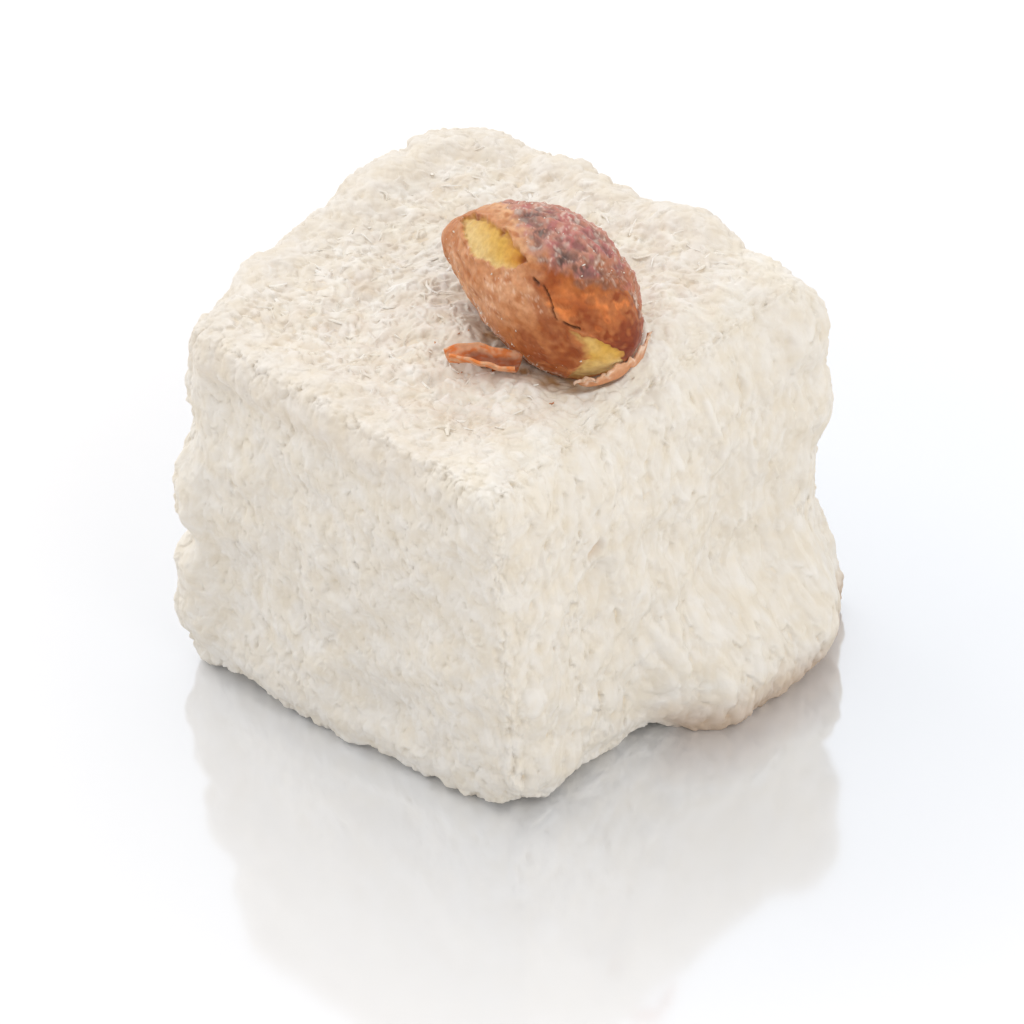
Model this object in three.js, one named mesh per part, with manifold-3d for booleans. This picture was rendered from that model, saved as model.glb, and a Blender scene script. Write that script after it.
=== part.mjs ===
// One cube of Turkish delight rolled in fine coconut, with a roasted pistachio pressed into its top.
// Millimetres, +Z up. The origin is on the floor, below the middle of the whole. X runs along the front
// (-Y) face, and the nut lies along X. The coat is matted on the sides and lies loose on top.

import * as THREE from "three";
import { mergeVertices } from "three/addons/utils/BufferGeometryUtils.js";
import Module from "manifold-3d";

// The block: its size over the coat, and how round its edges are.
const BLOCK = { length: 26.4, width: 26.8, height: 23.8, edgeRadius: 2.4, segments: 20 };

// How far each corner of the soft block leans from a true cuboid. The signs give the corner: x, y, z.
const CORNER_LEAN = [
  { corner: [-1, -1, 1], lean: [-0.66, 0.28, 0.39] },
  { corner: [1, -1, 1], lean: [-0.99, -1.36, 0.09] },
  { corner: [1, 1, 1], lean: [-0.73, 0.86, -0.36] },
  { corner: [-1, 1, 1], lean: [-1.74, 0.01, 0.82] },
  { corner: [-1, -1, -1], lean: [-0.64, -1.8, 0] },
  { corner: [1, -1, -1], lean: [-0.83, -1.07, 0] },
  { corner: [1, 1, -1], lean: [2.3, 0.12, 0] },
  { corner: [-1, 1, -1], lean: [-0.6, -0.4, 0] },
];

// Bulges (+) and hollows (-) of the coat, each along a line from one place to another.
const SWELLS = [
  // The far right edge: a knob at its top, a hollow below, and a low knob.
  { from: [13.2, 12.6, 20], to: [13.2, 12.6, 16.5], reach: 4, height: 1 },
  { from: [14, 12.6, 9], to: [14.4, 12.6, 6], reach: 4, height: -1.1 },
  { from: [15.6, 10.2, 5.4], to: [15.6, 8.6, 4.4], reach: 4, height: 0.5 },
  // The belly low on the right face, where the soft sweet has sagged outwards, and a fuller front lower edge.
  { from: [15, 0.8, 3.4], to: [15.8, 6.4, 3.4], reach: 6, height: 3.8 },
  { from: [-1, -14, 1], to: [3.5, -14, 1], reach: 3, height: 0.6 },
  // The nose on top of the near edge.
  { from: [11.6, -14.4, 21.9], to: [11.6, -14.4, 20.4], reach: 2.6, height: 0.7 },
  // The pressed rim along the top of the front face, and the worn top edge of the right face.
  { from: [-11, -13.4, 23.4], to: [9.6, -14.2, 23.4], reach: 2.6, height: 0.5 },
  { from: [12.2, -9, 23.4], to: [12.6, 8, 23.4], reach: 4.4, height: -0.9 },
  // A pit in the right face.
  { from: [12.6, -7.2, 13.6], to: [12.6, -6.8, 13.6], reach: 1.6, height: -0.7 },
  // The left edge: a groove between two bulges.
  { from: [-12.8, -13.8, 9.4], to: [-12.8, -11, 9.2], reach: 1.8, height: -0.8 },
  { from: [-13, -13.6, 12.4], to: [-13, -13.6, 11.8], reach: 2.8, height: 0.8 },
  { from: [-13, -13.8, 7], to: [-13, -13.8, 4.5], reach: 3.6, height: 1 },
  // The full top edges at the back and on the left, and the corner between them.
  { from: [-6, 12.8, 23.2], to: [-2.4, 12.8, 23.2], reach: 3.4, height: 0.9 },
  { from: [2.8, 12.8, 23.2], to: [5.4, 12.8, 23], reach: 3.4, height: 1 },
  { from: [-14, -5, 23], to: [-14.4, 6, 23.4], reach: 4, height: 0.6 },
  { from: [-14, -1.5, 23.4], to: [-14, 2, 23.4], reach: 3, height: 0.7 },
  { from: [-11, 12.8, 24], to: [-14, 9.6, 24], reach: 3, height: 0.4 },
];

// Unevenness all over: lumps of two sizes, each a sum of plane waves.
const LUMPS = [
  { wavelength: 10, height: 0.26, seed: 1 },
  { wavelength: 4.4, height: 0.16, seed: 5 },
];
const WAVES = 9;
const GOLDEN_ANGLE = Math.PI * (3 - Math.sqrt(5));

// The nut's kernel, its place and its tilt. Its pointed tip is towards -X, and its back bends up and back.
const NUT = { length: 14.7, width: 7.6, height: 8.6, pointed: 0.754, fuller: 0.25, bend: 0.4 };
const NUT_SEGMENTS = { around: 32, along: 26 };
const NUT_MIDDLE = [3.93, -0.96, 26.9];
const NUT_TILT = { pitch: 0.107, yaw: -0.037 };

// The skin stands proud of the kernel. It is split along a slanted line, with two bare patches on it.
const SKIN_RISE = 0.2;
const SPLIT = { around: 2.36, slant: 0.45, crack: 0.06, edge: 0.12 };
const BARE_PATCHES = [
  { along: -0.28, reach: 0.5, opening: 0.33 },
  { along: 0.8, reach: 0.26, opening: 0.6 },
];

// Loose bits of the nut's skin: a trough-like flake beside it, and a curl peeled off its blunt end.
const FLAKE = { length: 4.2, width: 1.7, thickness: 0.3, cup: 0.7, wave: 0.16, turn: 0.6 };
const FLAKE_MIDDLE = [3.7, -5.65, 24.2];
const CURL = { thickness: 0.3, away: 0.65, along: [0.76, 0.97], around: [-2.5, -0.25] };
const GAP = 0.3;

// Coconut shreds that stand out from a step away: flattened capsules, spread over the faces.
const SHRED = { radius: 0.27, length: 1.5, flatness: 0.75, sink: 0.1, sides: 5 };
const SHREDS_ON = [
  { face: [0, 0, 1], count: 66, lift: 0.16 },
  { face: [0, -1, 0], count: 12, lift: 0.05 },
  { face: [1, 0, 0], count: 12, lift: 0.05 },
  { face: [0, 1, 0], count: 12, lift: 0.05 },
  { face: [-1, 0, 0], count: 12, lift: 0.05 },
];
const EVEN_SPREAD = [0.7548776662, 0.569840291];
const SPREAD_REACH = 0.84;

const COLOURS = { coconut: 0xefe6d6, skin: 0x8a4a22, flake: 0x9a5a34 };

const wasm = await Module();
wasm.setup();

// A field of smooth lumps, about -1 to 1, from plane waves whose directions are spread over a sphere.
function lumpField(p, wavelength, seed) {
  let sum = 0;
  for (let k = 0; k < WAVES; k++) {
    const rise = 1 - (2 * k + 1) / WAVES;
    const flat = Math.sqrt(1 - rise * rise);
    const turn = GOLDEN_ANGLE * (k + seed);
    const along = p.x * flat * Math.cos(turn) + p.y * flat * Math.sin(turn) + p.z * rise;
    sum += Math.sin((2 * Math.PI * along) / wavelength + seed * (k + 1));
  }
  return sum / Math.sqrt(WAVES);
}

// One at a distance of 0, falling smoothly to nothing at a distance of 1.
function fade(distance) {
  const left = Math.max(0, 1 - distance * distance);
  return left * left;
}

function swellAt(p) {
  const nearest = new THREE.Vector3();
  return SWELLS.reduce((sum, { from, to, reach, height }) => {
    const line = new THREE.Line3(new THREE.Vector3(...from), new THREE.Vector3(...to));
    line.closestPointToPoint(p, true, nearest);
    return sum + height * fade(nearest.distanceTo(p) / reach);
  }, 0);
}

// The block's surface point for a point q on the cube from -1 to 1. The underside is flat on the floor.
function blockPoint(q) {
  const half = new THREE.Vector3(BLOCK.length, BLOCK.width, BLOCK.height).multiplyScalar(0.5);
  const sharp = q.clone().multiply(half);
  const inner = half.clone().subScalar(BLOCK.edgeRadius);
  const core = sharp.clone().clamp(inner.clone().negate(), inner);
  const normal = sharp.clone().sub(core).normalize();
  const p = core.addScaledVector(normal, BLOCK.edgeRadius);
  p.z += half.z;
  for (const { corner, lean } of CORNER_LEAN) {
    const share = corner.reduce((s, sign, axis) => (s * (1 + sign * q.getComponent(axis))) / 2, 1);
    p.addScaledVector(new THREE.Vector3(...lean), share);
  }
  const relief = LUMPS.reduce((s, l) => s + l.height * lumpField(p, l.wavelength, l.seed), swellAt(p));
  p.addScaledVector(normal, relief);
  const isUnderside = normal.z < -0.999;
  p.z = isUnderside ? 0 : Math.max(p.z, 0);
  return p;
}

// A closed geometry's points and triangles as a manifold-3d solid.
function solidOf(geometry) {
  const bare = geometry.clone();
  bare.deleteAttribute("normal");
  bare.deleteAttribute("uv");
  const merged = mergeVertices(bare, 1e-4);
  return new wasm.Manifold(
    new wasm.Mesh({
      numProp: 3,
      vertProperties: merged.attributes.position.array,
      triVerts: new Uint32Array(merged.index.array),
    }),
  );
}

function geometryOf(solid) {
  const mesh = solid.getMesh();
  const geometry = new THREE.BufferGeometry();
  geometry.setAttribute("position", new THREE.BufferAttribute(mesh.vertProperties, 3));
  geometry.setIndex(new THREE.BufferAttribute(mesh.triVerts, 1));
  geometry.computeVertexNormals();
  return geometry;
}

// Moves every vertex of a geometry to where a function sends it.
function remap(geometry, place) {
  const position = geometry.attributes.position;
  const p = new THREE.Vector3();
  for (let i = 0; i < position.count; i++) {
    p.copy(place(p.fromBufferAttribute(position, i)));
    position.setXYZ(i, p.x, p.y, p.z);
  }
  return geometry;
}

function bareBlock() {
  const n = BLOCK.segments;
  return solidOf(remap(new THREE.BoxGeometry(2, 2, 2, n, n, n), blockPoint));
}

// The share of the skin's height at a place on the nut: 1 on the skin, 0 where the kernel shows.
function skinCover(along, around) {
  const wider = (sum, patch) => sum + patch.opening * fade((along - patch.along) / patch.reach);
  const halfOpening = BARE_PATCHES.reduce(wider, SPLIT.crack);
  const turn = around - (SPLIT.around + SPLIT.slant * along);
  const offSplit = Math.abs(Math.atan2(Math.sin(turn), Math.cos(turn)));
  return THREE.MathUtils.smoothstep(offSplit, halfOpening * 0.8, halfOpening + SPLIT.edge);
}

// The nut's surface at a share of its length from -1 to 1 and an angle around it, pushed out by a clearance.
function nutPoint(along, around, clearance = 0) {
  const round = 1 - along * along;
  const taper = Math.pow(round, NUT.pointed) * (1 + NUT.fuller * along);
  const out = (SKIN_RISE * skinCover(along, around) + clearance) * Math.min(1, 3 * taper);
  const bend = NUT.bend * (1 - along) * round;
  return new THREE.Vector3(
    along * (NUT.length / 2 + clearance),
    (taper * NUT.width * 0.5 + out) * Math.cos(around) + bend,
    (taper * NUT.height * 0.5 + out) * Math.sin(around) + bend,
  );
}

function nutPlacement() {
  const turn = new THREE.Euler(0, NUT_TILT.pitch, NUT_TILT.yaw, "ZYX");
  return new THREE.Matrix4().makeRotationFromEuler(turn).setPosition(...NUT_MIDDLE);
}

// The nut from the unit sphere: the polar angle runs along it, the azimuth around it.
function nutGeometry(clearance = 0) {
  const sphere = new THREE.SphereGeometry(1, NUT_SEGMENTS.around, NUT_SEGMENTS.along);
  return remap(sphere, (p) => {
    const along = THREE.MathUtils.clamp(p.y, -1, 1);
    return nutPoint(along, Math.atan2(p.x, p.z), clearance);
  });
}

// A thin closed sheet around a surface function of two shares from 0 to 1, with both faces split alike.
function thinSheet(surface, thickness, across, down) {
  const sheet = new THREE.BoxGeometry(1, 1, 1, across, down, 1);
  const step = 1e-3;
  return remap(sheet, (p) => {
    const u = p.x + 0.5;
    const v = p.y + 0.5;
    const at = surface(u, v);
    const alongU = surface(u + step, v).sub(surface(u - step, v));
    const alongV = surface(u, v + step).sub(surface(u, v - step));
    const normal = alongU.cross(alongV).normalize();
    return at.addScaledVector(normal, p.z * thickness);
  });
}

// A curled scrap of skin: a shallow trough with a wavy outline. A room for it is larger all round.
function flakeGeometry(room = 0) {
  const surface = (u, v) => {
    const x = (u - 0.5) * (FLAKE.length + 2 * room);
    const wide = (FLAKE.width + 2 * room) * (0.72 + 0.28 * Math.sin(Math.PI * u));
    const y = (v - 0.5) * wide + FLAKE.wave * Math.sin(5 * u);
    const z = FLAKE.cup * Math.pow(2 * v - 1, 2) + FLAKE.wave * Math.sin(4 * u + 1);
    return new THREE.Vector3(x, y, z);
  };
  const turned = new THREE.Matrix4().makeRotationZ(FLAKE.turn).setPosition(...FLAKE_MIDDLE);
  return thinSheet(surface, FLAKE.thickness + 2 * room, 12, 6).applyMatrix4(turned);
}

// A peeled strip of skin that cups the blunt end of the nut. A room for it reaches in to the nut.
function curlGeometry(room = 0) {
  const spareAlong = (2 * room) / NUT.length;
  const spareAround = (2 * room) / NUT.height;
  const surface = (u, v) => {
    const along = THREE.MathUtils.lerp(CURL.along[0] - spareAlong, CURL.along[1], v);
    const around = THREE.MathUtils.lerp(CURL.around[0] - spareAround, CURL.around[1] + spareAround, u);
    return nutPoint(Math.min(along, 0.99), around, CURL.away);
  };
  const thickness = room > 0 ? 2 * CURL.away : CURL.thickness;
  return thinSheet(surface, thickness, 14, 5).applyMatrix4(nutPlacement());
}

// A point on the block with its outward direction and a direction along the surface.
function standOn(face, u, v) {
  const normal = new THREE.Vector3(...face);
  const side = Math.abs(normal.z) > 0.5 ? new THREE.Vector3(1, 0, 0) : new THREE.Vector3(0, 0, 1);
  const across = normal.clone().cross(side);
  const at = (s, t) => blockPoint(normal.clone().addScaledVector(side, s).addScaledVector(across, t));
  const step = 0.02;
  const alongSide = at(u + step, v).sub(at(u - step, v)).normalize();
  const alongAcross = at(u, v + step).sub(at(u, v - step));
  return { at: at(u, v), out: alongSide.clone().cross(alongAcross).normalize(), along: alongSide };
}

// One shred lying on the block: a flattened capsule of few sides, turned about the outward direction.
function shred(place, turn, lift, size) {
  const geometry = new THREE.CapsuleGeometry(SHRED.radius, SHRED.length * size, 1, SHRED.sides);
  geometry.scale(1, 1, SHRED.flatness);
  const level = place.along.clone().applyAxisAngle(place.out, turn);
  const along = level.addScaledVector(place.out, lift).normalize();
  const across = place.out.clone().cross(along).normalize();
  const up = along.clone().cross(across);
  const frame = new THREE.Matrix4().makeBasis(across, along, up.negate());
  frame.setPosition(place.at.clone().addScaledVector(place.out, SHRED.sink));
  return solidOf(geometry.applyMatrix4(frame));
}

// The block with its shreds, spread evenly and left out where they would touch what lies on the block.
function addShreds(block, keepClear) {
  const spread = (k, axis) => SPREAD_REACH * (2 * ((k * EVEN_SPREAD[axis]) % 1) - 1);
  for (const { face, count, lift } of SHREDS_ON) {
    for (let k = 1; k <= count; k++) {
      const place = standOn(face, spread(k, 0), spread(k, 1));
      const size = 0.75 + 0.5 * ((k * 0.618) % 1);
      const piece = shred(place, k * GOLDEN_ANGLE, lift * Math.sin(3 * k), size);
      const isClear = keepClear.every((other) => piece.intersect(other).isEmpty());
      if (isClear) block = block.add(piece);
    }
  }
  return block;
}

function mesh(name, geometry, colour, roughness) {
  const material = new THREE.MeshStandardMaterial({ color: colour, roughness, metalness: 0 });
  const made = new THREE.Mesh(geometry, material);
  made.name = name;
  return made;
}

const nutRoom = solidOf(nutGeometry(GAP).applyMatrix4(nutPlacement()));
const flakeRoom = solidOf(flakeGeometry(GAP));
const curlRoom = solidOf(curlGeometry(GAP));
const rooms = [nutRoom, flakeRoom, curlRoom];

// The block, cut clear of what lies on it, without any scrap that the cuts leave loose.
const cutBlock = rooms.reduce((solid, room) => solid.subtract(room), addShreds(bareBlock(), rooms));
const block = cutBlock.decompose().reduce((a, b) => (a.volume() > b.volume() ? a : b));

const delight = new THREE.Group();
delight.add(mesh("block", geometryOf(block), COLOURS.coconut, 0.85));

const nut = new THREE.Group();
nut.applyMatrix4(nutPlacement());
nut.add(mesh("pistachio", nutGeometry(), COLOURS.skin, 0.45));
delight.add(nut);
delight.add(mesh("skin_flake", flakeGeometry(), COLOURS.flake, 0.55));
delight.add(mesh("skin_curl", curlGeometry(), COLOURS.flake, 0.55));

// The middle of the whole's box goes over the origin.
const middle = new THREE.Box3().setFromObject(delight, true).getCenter(new THREE.Vector3());
delight.position.set(-middle.x, -middle.y, 0);

export default delight;
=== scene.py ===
"""The looks of one cube of Turkish delight rolled in fine coconut, with a roasted pistachio on top.

Shapes are worked out in millimetres, in the block's own coordinates, from the same formulas as the solids,
at a finer step. make_mesh moves them over the part's origin and turns them to metres.
"""

import math

import bpy
import numpy as np
from mathutils import Matrix, Vector


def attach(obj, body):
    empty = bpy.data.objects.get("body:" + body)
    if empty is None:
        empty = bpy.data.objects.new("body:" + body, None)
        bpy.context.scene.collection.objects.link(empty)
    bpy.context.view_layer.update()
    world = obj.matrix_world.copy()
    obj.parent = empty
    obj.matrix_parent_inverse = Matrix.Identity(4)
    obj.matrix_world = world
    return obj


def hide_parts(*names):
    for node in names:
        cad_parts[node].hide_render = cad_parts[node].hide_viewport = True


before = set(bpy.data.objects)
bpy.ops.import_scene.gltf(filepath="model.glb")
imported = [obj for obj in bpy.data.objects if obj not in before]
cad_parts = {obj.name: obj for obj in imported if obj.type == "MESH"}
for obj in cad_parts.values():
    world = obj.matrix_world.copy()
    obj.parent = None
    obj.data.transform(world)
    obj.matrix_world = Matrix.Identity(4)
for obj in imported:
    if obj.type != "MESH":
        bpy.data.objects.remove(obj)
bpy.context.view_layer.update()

MM = 0.001
# Where the part's origin lies in the block's own coordinates.
PART_ORIGIN = np.array([1.4143, -0.5498, 0.0])

# The block, as in the solids: size, round edges, leaning corners, swells (from, to, reach, height), lumps.
BLOCK_SIZE = np.array([26.4, 26.8, 23.8])
EDGE_RADIUS = 2.4
CORNER_LEAN = [
    ((-1, -1, 1), (-0.66, 0.28, 0.39)),
    ((1, -1, 1), (-0.99, -1.36, 0.09)),
    ((1, 1, 1), (-0.73, 0.86, -0.36)),
    ((-1, 1, 1), (-1.74, 0.01, 0.82)),
    ((-1, -1, -1), (-0.64, -1.8, 0)),
    ((1, -1, -1), (-0.83, -1.07, 0)),
    ((1, 1, -1), (2.3, 0.12, 0)),
    ((-1, 1, -1), (-0.6, -0.4, 0)),
]
SWELLS = [
    ((13.2, 12.6, 20), (13.2, 12.6, 16.5), 4, 1),
    ((14, 12.6, 9), (14.4, 12.6, 6), 4, -1.1),
    ((15.6, 10.2, 5.4), (15.6, 8.6, 4.4), 4, 0.5),
    ((15, 0.8, 3.4), (15.8, 6.4, 3.4), 6, 3.8),
    ((-1, -14, 1), (3.5, -14, 1), 3, 0.6),
    ((11.6, -14.4, 21.9), (11.6, -14.4, 20.4), 2.6, 0.7),
    ((-11, -13.4, 23.4), (9.6, -14.2, 23.4), 2.6, 0.5),
    ((12.2, -9, 23.4), (12.6, 8, 23.4), 4.4, -0.9),
    ((12.6, -7.2, 13.6), (12.6, -6.8, 13.6), 1.6, -0.7),
    ((-12.8, -13.8, 9.4), (-12.8, -11, 9.2), 1.8, -0.8),
    ((-13, -13.6, 12.4), (-13, -13.6, 11.8), 2.8, 0.8),
    ((-13, -13.8, 7), (-13, -13.8, 4.5), 3.6, 1),
    ((-6, 12.8, 23.2), (-2.4, 12.8, 23.2), 3.4, 0.9),
    ((2.8, 12.8, 23.2), (5.4, 12.8, 23), 3.4, 1),
    ((-14, -5, 23), (-14.4, 6, 23.4), 4, 0.6),
    ((-14, -1.5, 23.4), (-14, 2, 23.4), 3, 0.7),
    ((-11, 12.8, 24), (-14, 9.6, 24), 3, 0.4),
]
LUMPS = [(10, 0.26, 1), (4.4, 0.16, 5)]
WAVES = 9
GOLDEN_ANGLE = math.pi * (3 - math.sqrt(5))

# The coat's grid: steps across each face and up each side, and the underside's rings as shares of its size.
COAT_ACROSS, COAT_UP = 336, 218
UNDER_RINGS = 1 - 0.2 * np.linspace(0, 1, 20) ** 1.3
COAT_SIDES = {"front": (0, -1, 0), "right": (1, 0, 0), "back": (0, 1, 0), "left": (-1, 0, 0)}
COAT_MIDDLE = np.array([0, 0, 12.0])
# How far the coat lies lower under the bits on it, its soft hollows (height, size, seed), and its pits.
TOP_BED, SIDE_BED = 0.34, 0.14
COAT_HOLLOWS = [(0.18, 2.3, 11), (0.07, 1.0, 12)]
PIT_DEPTH, PIT_SPACING = 0.2, 1.2
# The crumbs it is packed from: their size, how high they stand on the top, the sides and the edges, and the
# same for finer crumbs among them, whose size is a share of the others'.
CRUMB_SIZE = np.array([1.0, 1.0, 1.5])
TOP_CRUMB_RISE, SIDE_CRUMB_RISE, EDGE_CRUMB_RISE = 0.18, 0.16, 0.3
FINE_CRUMBS, FINE_RISE, FINE_EDGE_RISE = 0.45, 0.06, 0.18
# The edges between faces: crumbs laid over them, as a share of the crumb size, a height and how far they
# spread; the strip that these alone fill; and the share of their height that other bits keep there, and how
# far from the edge they have all of it.
EDGE_CRUMBS, EDGE_FILL, EDGE_SPREAD = 0.7, 0.3, 1.3
EDGE_STRIP, EDGE_BITS, EDGE_REACH = 0.3, 0.45, 3.0
# The top's rim, where the coat is pressed: where it starts to pass into loose crumbs and where it has done
# so, how ragged that line is, the share of their height that bits keep, and its extra width on the right.
RIM_FROM, RIM_TO, RIM_RAGGED, RIM_BITS, RIGHT_RIM = 0.8, 4.2, 1.3, 0.75, 2.2
# Lightness: its mean, how far it differs from bit to bit on the sides and on top, and its gain for each
# millimetre that a place stands above those within a reach. That gain is painted light: crests are painted
# whiter and hollows creamier, the deepest a warm cream, for light scattered in the coconut.
SHADE_MEAN, SIDE_TONES, TOP_TONES, PAINTED_LIGHT_BY_HEIGHT, SHADE_REACH = 0.55, 0.3, 0.5, 1.2, 0.4
# How far the coat is pressed down around the nut, and how far that and the painted brown shade around
# the nut spread, as a share of it.
NUT_DENT, DENT_AND_SHADE_REACH = 0.48, 0.42
# A dimple in the right face, and larger crumbs on the belly low on it: below a height, and right of a place.
DIMPLE_PLACE, DIMPLE_REACH, DIMPLE_DEPTH = (12.7, -7.0, 15.8), 1.0, 0.6
BELLY_CRUMBS, BELLY_CRUMB_SIZE = 0.4, 0.7
BELLY_TOP, BELLY_FADE, BELLY_FROM, BELLY_TO = 4, 3.4, 12.8, 14.6
# How strong the painted brown shade on the coat is by the flake, on the rim, on the belly and in the dimple.
FLAKE_PAINTED_SHADE, RIM_PAINTED_SHADE, BELLY_PAINTED_SHADE, DIMPLE_PAINTED_SHADE = 0.7, 0.08, 0.55, 0.3

# The nut, as in the solids: kernel size, form, place and tilt, and how far the skin stands proud of it.
NUT_LENGTH, NUT_WIDTH, NUT_HEIGHT = 14.7, 7.6, 8.6
NUT_POINTED, NUT_FULLER, NUT_BEND = 0.754, 0.25, 0.4
NUT_MIDDLE = np.array([3.93, -0.96, 26.9])
NUT_PITCH, NUT_YAW = 0.107, -0.037
NUT_STEPS_ALONG, NUT_STEPS_AROUND = 176, 244
NUT_SEAM = -1.3
SKIN_RISE = 0.2

# Places on the nut as (share along it, angle around it): outlines of the two bare patches, the crack between
# them and its wider end, the edge of the cap of skin at the tip, a line of coconut dust, pits with their
# reach, and the lower edge of the purple skin, with the angle where that skin ends behind.
PATCH_A = [(-0.79, 1.84), (-0.42, 2.01), (0.0, 2.14), (0.14, 2.25), (0.07, 2.41), (-0.13, 2.58),
           (-0.43, 2.65), (-0.64, 2.4)]
PATCH_B = [(0.67, 2.76), (0.83, 2.7), (0.91, 2.78), (0.97, 3.2), (0.95, 4.6), (0.8, 4.5),
           (0.6, 4.25), (0.54, 4.1), (0.69, 3.72), (0.78, 3.32), (0.78, 3.05)]
CRACK = [(0.27, 2.36), (0.34, 2.4), (0.41, 2.43), (0.48, 2.53), (0.53, 2.64), (0.61, 2.67)]
CRACK_HOLE = [(0.61, 2.67), (0.72, 2.66)]
CAP_EDGE = [(-0.66, 2.55), (-0.62, 2.82), (-0.47, 3.0), (-0.31, 3.02)]
DUST_LINE = [(-0.3, 3.57), (-0.02, 3.6), (0.13, 3.73), (0.28, 3.86), (0.41, 3.85), (0.55, 3.95)]
PITS = [(-0.22, 2.11, 0.42), (0.09, 2.26, 0.5), (-0.58, 1.93, 0.36), (0.13, 2.79, 0.2),
        (-0.17, 2.85, 0.18), (0.42, 2.81, 0.16)]
PURPLE_EDGE = [(-1.0, 0.7), (-0.7, 1.2), (-0.35, 1.68), (-0.08, 1.97), (0.14, 2.12), (0.32, 2.11),
               (0.48, 2.03), (0.62, 1.91), (0.73, 1.68), (0.8, 1.01), (1.0, 0.3)]
PURPLE_BACK = -0.7
# Blotches in the skin: grey and magenta where it is purple, deep and bright where it is brown and orange.
GREY_SPOTS = [(-0.13, 1.62), (0.07, 1.8), (0.37, 1.93), (0.5, 1.81), (0.66, 1.55), (0.7, 1.3)]
MAGENTA_SPOTS = [(0.27, 1.59), (0.33, 1.28), (0.48, 1.13), (0.1, 1.3)]
DEEP_SPOTS = [(0.31, 2.32), (0.37, 2.25), (0.69, 2.33), (0.75, 2.39), (0.69, 3.2), (0.65, 3.42),
              (0.6, 3.08), (0.5, 3.55)]
BRIGHT_SPOTS = [(0.82, 2.04), (0.92, 1.86), (0.52, 2.3)]
# Layers of noise on the nut (height, size, seed): how ragged the patches and the purple skin are, the
# unevenness of the skin and of the kernel, and the wrinkles.
PATCH_RAGGED = [(0.2, 0.9, 41), (0.13, 0.35, 42)]
PURPLE_RAGGED = [(0.35, 1.1, 43), (0.3, 0.4, 44)]
SKIN_SOFT = [(0.15, 2.0, 48), (0.09, 0.8, 49), (0.05, 0.35, 50)]
KERNEL_SOFT = [(0.1, 1.4, 51), (0.06, 0.5, 52)]
WRINKLES = [(0.6, (1.9, 0.9, 0.9), 46), (0.4, (0.8, 0.42, 0.42), 47)]
# How far wrinkles stand in brown and in purple skin, how deep the crack and the pits are, and how far the
# skin curls up along a patch and along the crack.
BROWN_FOLDS, PURPLE_FOLDS, CRACK_DEPTH, NUT_PIT_DEPTH = 0.045, 0.1, 0.4, 0.2
PATCH_LIP, CRACK_LIP = 0.12, 0.08

# The loose bits of skin, as in the solids, but as thin as the real skin. The curl's distance from the nut is
# given for both its ends.
FLAKE_LENGTH, FLAKE_WIDTH, FLAKE_CUP, FLAKE_WAVE, FLAKE_TURN = 4.2, 1.7, 0.7, 0.16, 0.6
FLAKE_MIDDLE = np.array([3.7, -5.65, 24.2])
CURL_AWAY, CURL_HEIGHT, CURL_FLARE = (0.3, 0.85), 0.95, 0.4
CURL_PATH = [(0.7, 3.92), (0.82, 3.96), (0.91, 4.12), (0.968, 4.7), (0.93, 5.4), (0.82, 5.85)]
SKIN_THICKNESS = 0.16
FLAKE_STEPS, CURL_STEPS = (72, 30), (120, 16)

# Bits of coconut in the coat, in millimetres, each laid on what is there: sizes from least to most, number,
# and how far they bend. Then how far they tip, and the share of the height below them that they rest on.
TOP_CHIPS = {"length": (0.6, 1.6), "width": (0.35, 0.7), "rise": (0.07, 0.15), "count": 1300, "bend": 0.2}
TOP_SHREDS = {"length": (0.7, 1.7), "width": (0.16, 0.28), "rise": (0.05, 0.1), "count": 1300, "bend": 0.35}
SIDE_CHIPS = {"length": (0.6, 1.8), "width": (0.35, 0.9), "rise": (0.05, 0.13), "count": 1400, "bend": 0.2}
SIDE_STRANDS = {"length": (1.0, 2.8), "width": (0.3, 0.7), "rise": (0.07, 0.16), "count": 1000, "bend": 0.15}
SIDE_HAIRS = {"length": (0.8, 2.2), "width": (0.16, 0.26), "rise": (0.06, 0.11), "count": 700, "bend": 0.2}
SIDE_CLUMPS = {"length": (2.2, 5.0), "width": (0.6, 1.3), "rise": (0.17, 0.36), "count": 240, "bend": 0.12}
BIT_TIP, BIT_REST = 0.05, 0.5
# How far the strands of each side turn from upright, in radians, how far chips do, and hairs' share of what
# strands do. Then the share of their height that all bits of a side have, and the sides with clumps.
STRAND_SPREAD = {"front": 0.8, "right": 0.25, "back": 0.8, "left": 0.5}
CHIP_SPREAD, HAIR_SPREAD = 0.9, 0.7
STRANDS_STAND = {"front": 0.65, "right": 1.0, "back": 0.75, "left": 0.9}
CLUMPED_SIDES = ("right", "left")

# Separate shreds on top: the corners of a section, the sizes of the rings along it, sizes from least to
# most, how far they bend for their length, how ragged their corners are, their shade from deep to white, and
# how many. Then the share of the top they cover, their room around the nut, their tilt and their lift.
STRIP = np.array([(-1, -1), (1, -1), (0.3, 1), (-0.3, 1)])
LOOSE = {"section": STRIP, "rings": (0.5, 1, 1, 0.5), "length": (0.6, 1.7), "width": (0.14, 0.3),
         "thickness": (0.05, 0.08), "bend": 0.15, "ragged": 0.15, "shade": (0.6, 1.0), "count": 70}
FIBRE = {**LOOSE, "rings": (0.5, 1, 0.4), "length": (0.6, 1.6), "width": (0.09, 0.16),
         "thickness": (0.04, 0.06), "count": 150}
SHREDS_COVER, SHREDS_CLEAR, SHREDS_TILT, SHREDS_LIFT = 0.8, 0.9, 0.05, (-0.03, 0.0)
EVEN_SPREAD = np.array([0.7548776662, 0.569840291])
# Specks of nut skin on the coconut, and grains of coconut dust on the nut.
SPECK = {"section": STRIP, "rings": (0.6, 1, 0.5), "bend": 0.2, "ragged": 0.3}
SPECKS_BY_NUT, SPECKS_BY_FLAKE = 7, 7
DUST_GRAINS = 900

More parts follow.
